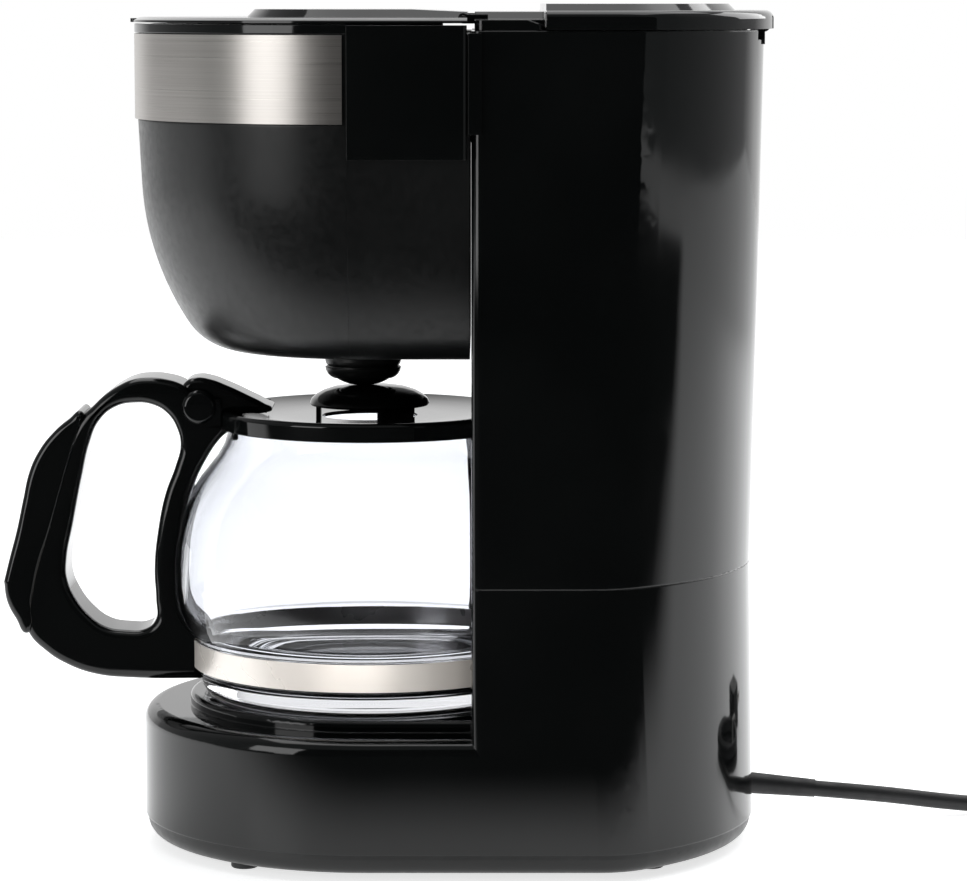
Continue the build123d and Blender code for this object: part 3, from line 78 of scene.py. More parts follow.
# %% The lead's ends
CORD_RADIUS = 2.6 * MM
LEAD = [
    (-18.0, 137.8, 10.3), (-18.6, 152.0, 9.0), (-20.8, 166.0, 7.2), (-24.0, 180.0, 4.8),
    (-28.0, 195.0, 2.62), (-30.6, 212.0, 2.62), (-31.2, 230.0, 2.62),
]
TAIL = [(-64.0, 271.6, 7.9), (-74.0, 271.5, 7.4), (-83.0, 271.2, 5.0), (-90.0, 271.2, 4.2), (-96.0, 271.2, 4.3)]
print(len(LEAD + TAIL), "points on the two ends")

# %% The coil's turns
COIL_CENTRE = (-62.4, 240.0)
OUTER_TURN, INNER_TURN = 31.5, 26.3
LOW_TURN, HIGH_TURN = 2.62, 7.92
TURN_STEP, LAST_ANGLE = 20, 1170
STEP_IN, STEP_UP, STEP_OUT = (285, 335), (605, 660), (905, 955)


def between(angle, span, before, after):
    """A value that changes evenly from before to after while the angle crosses the span."""
    start, end = span
    share = min(1, max(0, (angle - start) / (end - start)))
    return before + share * (after - before)


coil = []
for angle in range(TURN_STEP, LAST_ANGLE, TURN_STEP):
    reach = between(angle, STEP_IN, OUTER_TURN, INNER_TURN) + between(angle, STEP_OUT, 0, OUTER_TURN - INNER_TURN)
    coil.append((
        COIL_CENTRE[0] + reach * cos(radians(angle)),
        COIL_CENTRE[1] + reach * sin(radians(angle)),
        between(angle, STEP_UP, LOW_TURN, HIGH_TURN),
    ))
route = LEAD + coil + TAIL
print(len(route), "points on the lead")

# %% Make the cord
line = bpy.data.curves.new("power_cord", "CURVE")
line.dimensions = "3D"
spline = line.splines.new("NURBS")
spline.points.add(len(route) - 1)
for point, place in zip(spline.points, route):
    point.co = (*[c * MM for c in place], 1)
    point.radius = CORD_RADIUS
spline.order_u = 3
spline.use_endpoint_u = True
spline.resolution_u = 8
line.bevel_depth = 1.0
line.bevel_resolution = 5
line.use_fill_caps = True
power_cord = bpy.data.objects.new("power_cord", line)
bpy.context.scene.collection.objects.link(power_cord)
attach(power_cord, "machine")
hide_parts("cord", "cord_coil")

# %% [markdown]
# ## Table
# The maker stands on a plain pale table. A single large face would do, and a coarse grid costs nothing and gives a
# learner edges to pull. It lies a hair below the feet, so the two surfaces never fight over the same height.

# %% The table top
TABLE_SIZE = 6.0
TABLE_HEIGHT = -0.1 * MM
bpy.ops.mesh.primitive_grid_add(x_subdivisions=8, y_subdivisions=8, size=TABLE_SIZE, location=(0, 0, TABLE_HEIGHT))
table_top = bpy.context.object
table_top.name = "table_top"
print("table", TABLE_SIZE, "m")

# %% [markdown]
# ## Light
# A maker in gloss black shows what stands round it more than its own colour, so the room matters as much as the
# paint. Soft boxes are rectangular area lights. One hangs above, one stands in front and one behind, and they draw
# the long highlights. A sun lamp would be simpler, but its small hard highlight never looks like a room.


# %% Three soft boxes
def soft_box(name, place, size, power, aim=(0, 0.02, 0.13), colour=(1, 1, 1)):
    """A rectangular area light that looks at a point of the maker."""
    bpy.ops.object.light_add(type="AREA", location=place)
    lamp = bpy.context.object
    lamp.name = name
    lamp.data.shape = "RECTANGLE"
    lamp.data.size, lamp.data.size_y = size
    lamp.data.energy = power
    lamp.data.color = colour
    lamp.rotation_euler = (Vector(aim) - Vector(place)).to_track_quat("-Z", "Y").to_euler()
    return lamp


soft_box("overhead_box", (-0.3, 0.1, 1.5), (1.6, 1.6), 16)
soft_box("front_box", (1.04, -1.12, 0.5), (0.72, 0.9), 5.5)
soft_box("rear_box", (-0.9, 1.1, 0.7), (0.8, 0.9), 7)
print("three soft boxes")

# %% [markdown]
# ## Dark cards
# Gloss black looks black only where it has something dark to reflect. One dark card stands far out on the viewer's
# side, and one lies on the table in front of it. Both are hidden from the camera and cast no shadow, so they are seen
# in reflections alone. The light could be turned down instead, but that would grey the table as well.

# %% Stand one card up and lay one down
CARD_DISTANCE = 2.2
CARD_SCALE = (3.4, 4.4, 1)
LYING_CARD_MIDDLE = 1.2
LYING_CARD_SCALE = (2.24, 4.4, 1)
bpy.ops.mesh.primitive_grid_add(
    x_subdivisions=4, y_subdivisions=4, size=1, location=(CARD_DISTANCE, 0, 0.3), rotation=(0, pi / 2, 0)
)
dark_card = bpy.context.object
dark_card.name = "dark_card"
dark_card.scale = CARD_SCALE
bpy.ops.mesh.primitive_grid_add(
    x_subdivisions=4, y_subdivisions=4, size=1, location=(LYING_CARD_MIDDLE, 0, 0.4 * MM)
)
lying_card = bpy.context.object
lying_card.name = "lying_card"
lying_card.scale = LYING_CARD_SCALE
bpy.ops.object.transform_apply(location=True, rotation=True, scale=True)
for card in (dark_card, lying_card):
    card.visible_camera = False
    card.visible_diffuse = False
    card.visible_shadow = False
print("card", CARD_DISTANCE, "m away")

# %% [markdown]
# ## The room's own light
# Behind the maker the room is bright, and towards the viewer it falls off to grey. A world shader that runs from
# white to grey along one axis does this with a few nodes. Walls could be built instead, but they would have to be lit
# too.

# %% From bright to grey across the room
ROOM_SHADES = [(0.08, (1.0, 1.0, 1.0, 1)), (0.62, (0.18, 0.19, 0.19, 1))]
MIDDLE_PLACE, MIDDLE_SHADE = 0.16, (0.38, 0.38, 0.385, 1)
world = bpy.data.worlds.new("studio")
bpy.context.scene.world = world
world.use_nodes = True
sky = world.node_tree
way = sky.nodes.new("ShaderNodeTexCoord")
parts = sky.nodes.new("ShaderNodeSeparateXYZ")
depth = sky.nodes.new("ShaderNodeMapRange")
depth.inputs["From Min"].default_value = -1
ramp = sky.nodes.new("ShaderNodeValToRGB")
for element, (place, shade) in zip(ramp.color_ramp.elements, ROOM_SHADES):
    element.position = place
    element.color = shade
ramp.color_ramp.elements.new(MIDDLE_PLACE).color = MIDDLE_SHADE
sky.links.new(way.outputs["Generated"], parts.inputs[0])
sky.links.new(parts.outputs["X"], depth.inputs["Value"])
sky.links.new(depth.outputs[0], ramp.inputs[0])
sky.links.new(ramp.outputs[0], sky.nodes["Background"].inputs["Color"])
sky.nodes["Background"].inputs["Strength"].default_value = 1.0
print("room lit")

# %% [markdown]
# ## Finishes
# Every finish starts as the same plain shader and then gets what the real surface has: moulded plastic a faint
# ripple, brushed steel fine lines along the metal, rubber a dry grain. The patterns could come from painted images,
# but noise nodes stay sharp at any distance. They read the object's own coordinates, so they stay put whatever the
# piece does.


# %% A plain shader and some noise to start from
def new_finish(name, colour, roughness, metallic=0.0):
    """A material, its node tree and its main shader."""
    material = bpy.data.materials.new(name)
    material.use_nodes = True
    tree = material.node_tree
    shader = tree.nodes["Principled BSDF"]
    shader.inputs["Base Color"].default_value = (*colour, 1)
    shader.inputs["Roughness"].default_value = roughness
    shader.inputs["Metallic"].default_value = metallic
    return material, tree, shader


def add_noise(tree, scale, stretch=(1, 1, 1), detail=3.0):
    """Noise on the piece's own coordinates, stretched along the axes."""
    coordinates = tree.nodes.new("ShaderNodeTexCoord")
    mapping = tree.nodes.new("ShaderNodeMapping")
    mapping.inputs["Scale"].default_value = stretch
    noise = tree.nodes.new("ShaderNodeTexNoise")
    noise.inputs["Scale"].default_value = scale
    noise.inputs["Detail"].default_value = detail
    tree.links.new(coordinates.outputs["Object"], mapping.inputs["Vector"])
    tree.links.new(mapping.outputs["Vector"], noise.inputs["Vector"])
    return noise


print("plain shader and noise ready")


# %% What the noise can move
def vary_roughness(tree, shader, noise, low, high):
    """Lets the noise move the roughness between two values."""
    span = tree.nodes.new("ShaderNodeMapRange")
    span.inputs["From Min"].default_value = 0.3
    span.inputs["From Max"].default_value = 0.7
    span.inputs["To Min"].default_value = low
    span.inputs["To Max"].default_value = high
    tree.links.new(noise.outputs["Fac"], span.inputs["Value"])
    tree.links.new(span.outputs["Result"], shader.inputs["Roughness"])


def vary_colour(tree, shader, noise, dark, light):
    """Lets the noise move the colour between two shades."""
    shades = tree.nodes.new("ShaderNodeValToRGB")
    shades.color_ramp.elements[0].position = 0.35
    shades.color_ramp.elements[0].color = (*dark, 1)
    shades.color_ramp.elements[1].position = 0.65
    shades.color_ramp.elements[1].color = (*light, 1)
    tree.links.new(noise.outputs["Fac"], shades.inputs["Fac"])
    tree.links.new(shades.outputs["Color"], shader.inputs["Base Color"])


def add_bump(tree, shader, noise, height, strength=0.3):
    """Lets the noise raise the surface by a height in metres."""
    bump = tree.nodes.new("ShaderNodeBump")
    bump.inputs["Distance"].default_value = height
    bump.inputs["Strength"].default_value = strength
    tree.links.new(noise.outputs["Fac"], bump.inputs["Height"])
    tree.links.new(bump.outputs["Normal"], shader.inputs["Normal"])


print("roughness, colour and bump ready")

# %% [markdown]
# ## Black plastics
# The housing is moulded in black with a deep gloss, and the bowl of the filter holder in the same black with a satin
# face. The gloss is never quite even, so its roughness and its black wander a little. The large shells keep the sharp
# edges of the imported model, and a Bevel node lets those edges catch light as rounded ones would. The same could be
# modelled, but on such large curved shells that upsets their long reflections.


# %% Gloss black, with and without softened edges
def shiny_black(name):
    """A deep black gloss that wanders a little."""
    material, tree, shader = new_finish(name, (0.002, 0.0024, 0.0024), 0.06)
    vary_roughness(tree, shader, add_noise(tree, 60), 0.045, 0.075)
    vary_colour(tree, shader, add_noise(tree, 25), (0.0014, 0.0018, 0.0018), (0.0024, 0.0028, 0.0028))
    return material, tree, shader


gloss_black, tree, shader = shiny_black("gloss_black")
edged_black, tree, shader = shiny_black("edged_black")
EDGE_RADIUS = 0.7 * MM
rounding = tree.nodes.new("ShaderNodeBevel")
rounding.samples = 6
rounding.inputs["Radius"].default_value = EDGE_RADIUS
tree.links.new(rounding.outputs["Normal"], shader.inputs["Normal"])
print("gloss blacks")

# %% Satin black and rubber
satin_black, tree, shader = new_finish("satin_black", (0.0035, 0.004, 0.004), 0.34)
vary_roughness(tree, shader, add_noise(tree, 400), 0.28, 0.38)
vary_colour(tree, shader, add_noise(tree, 40), (0.0028, 0.0032, 0.0032), (0.0042, 0.0046, 0.0046))
add_bump(tree, shader, add_noise(tree, 2200), 0.03 * MM, 0.2)

rubber_black, tree, shader = new_finish("rubber_black", (0.012, 0.012, 0.013), 0.6)
vary_roughness(tree, shader, add_noise(tree, 300), 0.42, 0.62)
vary_colour(tree, shader, add_noise(tree, 60), (0.008, 0.008, 0.009), (0.016, 0.016, 0.017))
add_bump(tree, shader, add_noise(tree, 1500), 0.04 * MM, 0.3)
print("satin black and rubber")

# %% [markdown]
# ## Metals
# The holder's band is brushed round and round, so its lines lie flat: the noise is squeezed hard along the height and
# drawn out along the other two axes. Anisotropy on the shader would give the streak of light too, but not the lines
# themselves. The pot's band is softer and paler, because it mirrors the bright table. The heater under the plate is
# rough cast metal, and the plate has a dark coating with a fine grain.

# %% Brushed, polished and soft steel
brushed_steel, tree, shader = new_finish("brushed_steel", (0.60, 0.565, 0.53), 0.3, 1.0)
lines = add_noise(tree, 1.0, (9, 9, 5200), 3.0)
vary_roughness(tree, shader, lines, 0.27, 0.34)
vary_colour(tree, shader, lines, (0.50, 0.475, 0.45), (0.57, 0.545, 0.52))
add_bump(tree, shader, lines, 0.01 * MM, 0.15)

polished_steel, tree, shader = new_finish("polished_steel", (0.75, 0.73, 0.71), 0.12, 1.0)
vary_roughness(tree, shader, add_noise(tree, 1.0, (20, 20, 900)), 0.08, 0.18)
vary_colour(tree, shader, add_noise(tree, 80), (0.70, 0.68, 0.66), (0.78, 0.76, 0.74))

soft_steel, tree, shader = new_finish("soft_steel", (0.80, 0.755, 0.71), 0.3, 0.55)
vary_roughness(tree, shader, add_noise(tree, 60), 0.26, 0.30)
vary_colour(tree, shader, add_noise(tree, 40), (0.78, 0.735, 0.69), (0.82, 0.78, 0.735))
print("three steels")

# %% Cast metal and the plate's coating
cast_aluminium, tree, shader = new_finish("cast_aluminium", (0.6, 0.6, 0.61), 0.5, 1.0)
vary_roughness(tree, shader, add_noise(tree, 500), 0.4, 0.6)
add_bump(tree, shader, add_noise(tree, 900), 0.1 * MM, 0.4)

coated_plate, tree, shader = new_finish("coated_plate", (0.012, 0.012, 0.013), 0.4)
vary_roughness(tree, shader, add_noise(tree, 600), 0.3, 0.45)
add_bump(tree, shader, add_noise(tree, 1800), 0.04 * MM, 0.3)
print("cast metal and coating")

# %% [markdown]
# ## Glass and the pale inner plastics
# The carafe is clear glass with a faint cool tint and a slow ripple from blowing, which bends what is seen through
# it. The glass has a real wall, so full transmission with glass's own bending of light is right. Thin sheets would
# call for a mix with plain transparency instead. The tank, the hoses and the level window are milky or clear
# plastics, and the filter is woven nylon, whose cells come from a Voronoi pattern.

# %% Glass and clear plastic
carafe_glass_finish, tree, shader = new_finish("carafe_glass_finish", (0.885, 0.895, 0.925), 0.0)
shader.inputs["Transmission Weight"].default_value = 1.0
shader.inputs["IOR"].default_value = 1.47
vary_roughness(tree, shader, add_noise(tree, 30), 0.0, 0.01)
add_bump(tree, shader, add_noise(tree, 22, detail=1.0), 0.05 * MM, 0.06)

clear_plastic, tree, shader = new_finish("clear_plastic", (0.8, 0.86, 0.88), 0.1)
shader.inputs["Transmission Weight"].default_value = 0.8
vary_roughness(tree, shader, add_noise(tree, 120), 0.06, 0.16)
print("glass and clear plastic")

# %% Pale plastic, silicone and woven nylon
pale_plastic, tree, shader = new_finish("pale_plastic", (0.55, 0.55, 0.52), 0.45)
vary_roughness(tree, shader, add_noise(tree, 300), 0.38, 0.52)
vary_colour(tree, shader, add_noise(tree, 30), (0.50, 0.50, 0.47), (0.58, 0.58, 0.55))

silicone, tree, shader = new_finish("silicone", (0.62, 0.60, 0.55), 0.55)
vary_roughness(tree, shader, add_noise(tree, 200), 0.48, 0.62)
vary_colour(tree, shader, add_noise(tree, 50), (0.56, 0.54, 0.49), (0.66, 0.64, 0.6))

nylon_mesh, tree, shader = new_finish("nylon_mesh", (0.05, 0.05, 0.05), 0.5)
grain = tree.nodes.new("ShaderNodeTexCoord")
weave = tree.nodes.new("ShaderNodeTexVoronoi")
weave.inputs["Scale"].default_value = 1600
raised = tree.nodes.new("ShaderNodeBump")
raised.inputs["Distance"].default_value = 0.2 * MM
tree.links.new(grain.outputs["Object"], weave.inputs["Vector"])
tree.links.new(weave.outputs["Distance"], raised.inputs["Height"])
tree.links.new(raised.outputs["Normal"], shader.inputs["Normal"])
vary_colour(tree, shader, add_noise(tree, 40), (0.03, 0.03, 0.03), (0.07, 0.065, 0.06))
print("inner plastics")

# %% [markdown]
# ## Finishes for the stage
# The table glows a little by itself, which lifts it to the same white as the room behind, so no horizon shows. More
# lamps would do that too, but they would also show in the gloss. The dark cards are plain matt black. The lying one
# fades out towards the maker, so that its edge never draws a line in the reflections.

# %% Table and standing card
table_finish, tree, shader = new_finish("table_finish", (0.86, 0.87, 0.88), 0.5)
vary_colour(tree, shader, add_noise(tree, 3), (0.85, 0.86, 0.87), (0.88, 0.89, 0.9))
shader.inputs["Emission Color"].default_value = (1, 1, 1, 1)
shader.inputs["Emission Strength"].default_value = 0.7
table_top.data.materials.append(table_finish)
CARD_BLACK = (0.012, 0.012, 0.012)
card_finish, tree, shader = new_finish("card_finish", CARD_BLACK, 1.0)
dark_card.data.materials.append(card_finish)
print("table and card")

# %% The lying card fades out towards the maker
FADE_START, FADE_END = 0.09, 0.24
fading_finish, tree, shader = new_finish("fading_finish", CARD_BLACK, 1.0)
across = tree.nodes.new("ShaderNodeTexCoord")
apart = tree.nodes.new("ShaderNodeSeparateXYZ")
fade = tree.nodes.new("ShaderNodeMapRange")
fade.interpolation_type = "SMOOTHSTEP"
fade.inputs["From Min"].default_value = FADE_START
fade.inputs["From Max"].default_value = FADE_END
tree.links.new(across.outputs["Object"], apart.inputs[0])
tree.links.new(apart.outputs["X"], fade.inputs["Value"])
tree.links.new(fade.outputs["Result"], shader.inputs["Alpha"])
lying_card.data.materials.append(fading_finish)
print("card fades between", FADE_START, "and", FADE_END, "m")

# %% [markdown]
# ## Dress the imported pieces
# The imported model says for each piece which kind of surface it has. A small dictionary turns that into a finish, so
# no piece is forgotten, and inner pieces get theirs as well as the visible ones.

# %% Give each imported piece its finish
finish_of_slot = {
    "shell_gloss": gloss_black, "shell_satin": satin_black, "steel_brushed": brushed_steel,
    "steel_pins": polished_steel, "plate_coated": coated_plate, "cast_aluminium": cast_aluminium,
    "rubber_black": rubber_black, "silicone": silicone, "water_plastic": pale_plastic, "mesh_nylon": nylon_mesh,
    "clear_window": clear_plastic, "carafe_glass": carafe_glass_finish, "fuse_case": cast_aluminium,
    "tie_white": pale_plastic, "pin_chrome": polished_steel,
}
slot_of_node = {s["node"]: s["material_slot"] for s in frame["record"]["subparts"]}
for name, node in nodes.items():
    node.data.materials.clear()
    node.data.materials.append(finish_of_slot[slot_of_node[name]])
for name in ("lower_shell", "upper_shell", "top_bridge"):
    nodes[name].data.materials[0] = edged_black
power_cord.data.materials.append(rubber_black)
print("finishes on", len(nodes), "pieces")

# %% [markdown]
# ## Moulded shells with soft edges
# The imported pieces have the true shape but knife-sharp edges, and no moulded edge is that sharp: the thin bright
# lines on a real maker are light caught by small rounded edges. Each piece is therefore copied, its loose triangles
# are merged and joined into flat faces, and a small bevel rounds what is left. The bevel could also be modelled edge
# by edge, but an angle limit finds the same edges by itself.


# %% Helpers that shape one piece at a time
WELD = 2e-6


def use_only(piece):
    """Makes this piece the only one selected, and the active one."""
    bpy.ops.object.select_all(action="DESELECT")
    piece.select_set(True)
    bpy.context.view_layer.objects.active = piece


def round_off(piece, width, segments, angle=30):
    """Bevels every edge that is sharper than the angle."""
    edge = piece.modifiers.new("round_off", "BEVEL")
    edge.width, edge.segments = width, segments
    edge.limit_method = "ANGLE"
    edge.angle_limit = radians(angle)
    bpy.ops.object.modifier_apply(modifier="round_off")


def even_light(piece):
    """Lets the large faces decide how light runs over an edge, so flat sides stay flat."""
    use_only(piece)
    weights = piece.modifiers.new("even_light", "WEIGHTED_NORMAL")
    weights.weight = 80
    weights.keep_sharp = True
    bpy.ops.object.modifier_apply(modifier="even_light")


def dressed(piece, finish, body):
    """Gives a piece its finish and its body."""
    piece.data.materials.clear()
    piece.data.materials.append(finish)
    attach(piece, body)


print("helpers for shaping ready")


# %% Copy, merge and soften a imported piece
def softened(node, name, width, body, finish, angle=32):
    """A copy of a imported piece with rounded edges, which stands for it."""
    piece = bpy.data.objects.new(name, nodes[node].data.copy())
    bpy.context.scene.collection.objects.link(piece)
    use_only(piece)
    bpy.ops.object.mode_set(mode="EDIT")
    bpy.ops.mesh.select_all(action="SELECT")
    bpy.ops.mesh.remove_doubles(threshold=WELD)
    bpy.ops.mesh.customdata_custom_splitnormals_clear()
    bpy.ops.mesh.dissolve_limited(angle_limit=radians(0.1))
    bpy.ops.object.mode_set(mode="OBJECT")
    round_off(piece, width, 3, angle)
    bpy.ops.object.shade_smooth_by_angle(angle=radians(angle))
    even_light(piece)
    dressed(piece, finish, body)
    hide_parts(node)
    print(name, len(piece.data.polygons), "faces")
    return piece


# %% Soften the two lids
softened("front_lid", "filter_lid", 0.35 * MM, "front_lid", gloss_black)
softened("tank_lid", "water_lid", 0.4 * MM, "tank_lid", gloss_black)

# %% [markdown]
# ## The filter holder's shells
# The holder is a deep bowl in two halves with a vertical seam, a glossy rim, and glossy panels where it meets the
# tower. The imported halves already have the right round, and modelling them again would only risk losing the seam, so
# they are softened like the lids. The narrow blocks on the tower's corners are finished with them.

# %% Soften the holder and its neighbours
softened("side_panels", "holder_panels", 0.4 * MM, "filter_holder", gloss_black)
softened("catch_post", "corner_block", 0.3 * MM, "machine", gloss_black)
softened("hinge_post", "hinge_block", 0.3 * MM, "machine", gloss_black)
softened("holder_rim", "bowl_rim", 0.3 * MM, "filter_holder", gloss_black)
softened("bowl_front", "bowl_front_shell", 0.35 * MM, "filter_holder", satin_black)
softened("bowl_back", "bowl_back_shell", 0.35 * MM, "filter_holder", satin_black)

# %% [markdown]
# ## Plate, switch, band and plug
# The hot plate is a pressed disc, the switch a rocker in a frame, and the plug a moulded block. They are small, so
# the same softening is enough. The steel band round the pot gets it too, with its own paler finish.

# %% Soften the small pieces
softened("warming_plate", "hot_plate", 0.3 * MM, "machine", coated_plate)
softened("switch_bezel", "switch_frame", 0.3 * MM, "machine", gloss_black)
softened("rocker", "switch_rocker", 0.3 * MM, "power_rocker", gloss_black)
band = softened("carafe_band", "pot_band", 0.25 * MM, "carafe", soft_steel)
softened("plug_body", "plug_shell", 0.3 * MM, "machine", rubber_black)

# %% [markdown]
# ## A lamp for the pot's band alone
# The band stands deep under the holder, where little light reaches it, and still it shines in real life. A lamp that
# lights everything would spoil the dark sides of the maker, so this one is linked to the band: light linking lets a
# lamp shine on the pieces of one collection only.

# %% Light the band
lamp = soft_box("band_box", (1.1, -0.15, 0.25), (0.9, 0.5), 9, aim=(0.056, -0.005, 0.06), colour=(1.0, 0.97, 0.94))
lit = bpy.data.collections.new("lit_by_band_box")
lit.objects.link(band)
lamp.light_linking.receiver_collection = lit
print("band lit")

# %% [markdown]
# ## Handle
# The handle is a flat loop with fully rounded edges. It could be cut from a block, but a closed flat curve with a
# hole is the shortest way to it: the curve's own depth and bevel make the loop, and then it becomes a mesh. The
# points are its outline as seen from the side.


# %% Flat pieces with rounded edges
def add_loop(curve, points, corners):
    """One closed smooth line through the points, with sharp corners where they are asked for."""
    loop = curve.splines.new("BEZIER")
    loop.bezier_points.add(len(points) - 1)
    for number, (point, place) in enumerate(zip(loop.bezier_points, points)):
        point.co = (place[0] * MM, place[1] * MM, 0)
        kind = "VECTOR" if number in corners else "AUTO"
        point.handle_left_type = point.handle_right_type = kind
    loop.use_cyclic_u = True


def close_up(weld):
    """Merges points that lie on each other and turns every face of the active piece outwards."""
    bpy.ops.object.mode_set(mode="EDIT")
    bpy.ops.mesh.select_all(action="SELECT")
    bpy.ops.mesh.remove_doubles(threshold=weld)
    bpy.ops.mesh.normals_make_consistent(inside=False)
    bpy.ops.object.mode_set(mode="OBJECT")


def side_plate(name, loops, half, rounding):
    """A flat piece that stands upright along the maker, drawn from its side, with rounded edges."""
    curve = bpy.data.curves.new(name, "CURVE")
    curve.dimensions = "2D"
    curve.fill_mode = "BOTH"
    curve.resolution_u = 10
    for points, corners in loops:
        add_loop(curve, points, corners)
    curve.extrude = (half - rounding) * MM
    curve.bevel_depth = rounding * MM
    curve.bevel_resolution = 4
    curve.offset = -rounding * MM
    piece = bpy.data.objects.new(name, curve)
    bpy.context.scene.collection.objects.link(piece)
    use_only(piece)
    bpy.ops.object.convert(target="MESH")
    piece.rotation_euler = (pi / 2, 0, pi / 2)
    bpy.ops.object.transform_apply(location=True, rotation=True, scale=True)
    close_up(WELD)
    bpy.ops.object.shade_smooth_by_angle(angle=radians(40))
    even_light(piece)
    return piece


print("helpers for flat pieces ready")

# %% The handle's loop
OUTER = [
    (-60.0, 142.6), (-64.5, 145.6), (-69.8, 147.2), (-75.0, 147.6), (-79.8, 147.0), (-84.0, 145.2), (-88.8, 142.0),
    (-92.4, 138.6), (-95.2, 136.0), (-99.6, 129.0), (-103.4, 119.0), (-107.2, 106.0), (-110.8, 93.0), (-113.6, 81.0),
    (-114.9, 73.0), (-113.6, 66.3), (-108.4, 60.6), (-101.6, 56.2), (-92.6, 53.0), (-81.0, 51.8), (-59.0, 51.6),
    (-59.0, 66.5), (-62.0, 69.5), (-64.5, 74.0), (-65.2, 82.0), (-64.6, 93.7), (-63.2, 104.7), (-60.8, 113.4),
    (-56.8, 121.8), (-52.0, 128.6), (-49.0, 131.0), (-49.0, 140.5), (-53.0, 141.4),
]
OUTER_CORNERS = (20, 30, 31)
HOLE = [
    (-79.0, 139.6), (-85.5, 138.2), (-90.6, 133.8), (-93.6, 127.0), (-96.0, 117.0), (-99.2, 101.0), (-101.3, 90.0),
    (-101.2, 83.5), (-98.7, 77.5), (-94.6, 72.2), (-89.4, 68.4), (-83.0, 67.2), (-76.6, 67.6), (-73.4, 70.4),
    (-73.2, 77.0), (-73.6, 87.0), (-72.2, 100.0), (-69.8, 111.0), (-66.6, 119.6), (-65.0, 126.0), (-66.0, 131.4),
    (-69.0, 136.2), (-73.4, 138.9),
]
HANDLE_HALF, HANDLE_ROUNDING = 11.4, 2.6
handle = side_plate("pot_handle", [(OUTER, OUTER_CORNERS), (HOLE, ())], HANDLE_HALF, HANDLE_ROUNDING)
dressed(handle, edged_black, "carafe")
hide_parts("carafe_handle")
print("handle", len(handle.data.polygons), "faces")

# %% [markdown]
# ## Grip
# The grip is a second shell clipped round the outside of the loop. It is a little wider than the loop, so a fine step
# shows where the two meet. It could be the same mesh with a groove, but a separate piece gives the true parting line.

# %% The grip's outer shell
GRIP = [
    (-95.8, 137.0), (-99.9, 134.6), (-105.6, 129.6), (-109.8, 124.0), (-112.7, 117.7), (-114.8, 108.8),
    (-116.9, 99.2), (-119.3, 90.3), (-121.2, 82.8), (-120.3, 76.6), (-117.6, 71.1), (-113.8, 66.3),
    (-111.7, 76.8), (-109.6, 87.1), (-106.2, 97.5), (-101.9, 112.5), (-98.4, 124.5), (-96.0, 132.0),
]
GRIP_CORNERS = (8,)
GRIP_HALF, GRIP_ROUNDING = 11.9, 2.2
grip = side_plate("pot_grip", [(GRIP, GRIP_CORNERS)], GRIP_HALF, GRIP_ROUNDING)
dressed(grip, gloss_black, "carafe")
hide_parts("handle_grip")
print("grip", len(grip.data.polygons), "faces")

# %% [markdown]
# ## Thumb lever and its hinge
# A thumb on the lever lifts the lid. The lever is a flat wedge, so the same helper draws it. The hinge ends in a
# round boss on each side: a short cylinder whose sharp rims are bevelled until they are a dome.

# %% The lever
LEVER = [
    (-64.2, 141.0), (-64.6, 143.6), (-63.2, 146.2), (-60.0, 147.4), (-56.0, 147.0), (-50.0, 144.8), (-44.0, 142.0),
    (-38.5, 139.2), (-36.0, 137.4), (-38.0, 136.3), (-44.0, 136.0), (-50.0, 135.6), (-56.0, 135.4), (-61.0, 137.4),
]
LEVER_HALF, LEVER_ROUNDING = 9.0, 2.4
lever = side_plate("thumb_lever", [(LEVER, ())], LEVER_HALF, LEVER_ROUNDING)
dressed(lever, gloss_black, "carafe")
print("lever", len(lever.data.polygons), "faces")


# %% Short round pieces with rounded rims
def round_stud(name, sides, radius, length, place, turn, rim, segments):
    """A short cylinder with bevelled rims, part of the carafe."""
    bpy.ops.mesh.primitive_cylinder_add(
        vertices=sides, radius=radius * MM, depth=length * MM, location=place, rotation=turn
    )
    stud = bpy.context.object
    stud.name = name
    bpy.ops.object.transform_apply(location=True, rotation=True, scale=True)
    round_off(stud, rim * MM, segments)
    bpy.ops.object.shade_smooth_by_angle(angle=radians(40))
    dressed(stud, gloss_black, "carafe")
    print(name, len(stud.data.polygons), "faces")


for side, name in ((-1, "hinge_boss_left"), (1, "hinge_boss_right")):
    round_stud(name, 64, 5.4, 3.8, (side * 10.8 * MM, -58.8 * MM, 138.4 * MM), (0, pi / 2, 0), 1.8, 6)

# %% [markdown]
# ## Lid
# The lid is round, so it grows ring by ring: a circle is drawn out again and again, and each new ring is lifted and
# scaled. A spin of the half section would do as well, but rings keep clean four-sided faces and show each step. A
# small bevel then softens the sharp rings. Where a profile starts or ends on the axis, its smallest ring is merged
# into one point, which closes the pole.


# %% Grow a round piece ring by ring
AXIS = 0.005
POLE_WELD = 12e-6


def turned(name, profile, centre, width=0.0, sides=96, weld=POLE_WELD):
    """A round piece from its half section, given as reach and height in millimetres."""
    (reach, height), *rest = profile
    place = (centre[0] * MM, centre[1] * MM)
    bpy.ops.mesh.primitive_circle_add(vertices=sides, radius=reach * MM, location=(*place, height * MM))
    piece = bpy.context.object
    piece.name = name
    bpy.ops.object.transform_apply(location=True, rotation=True, scale=True)
    bpy.ops.object.mode_set(mode="EDIT")
    bpy.ops.mesh.select_all(action="SELECT")
    for next_reach, next_height in rest:
        bpy.ops.mesh.extrude_region_move(TRANSFORM_OT_translate={"value": (0, 0, (next_height - height) * MM)})
        share = next_reach / reach
        bpy.ops.transform.resize(value=(share, share, 1), center_override=(*place, next_height * MM))
        reach, height = next_reach, next_height
    bpy.ops.object.mode_set(mode="OBJECT")
    close_up(weld)
    if width:
        round_off(piece, width * MM, 3, 25)
    bpy.ops.object.shade_smooth_by_angle(angle=radians(40))
    even_light(piece)
    return piece


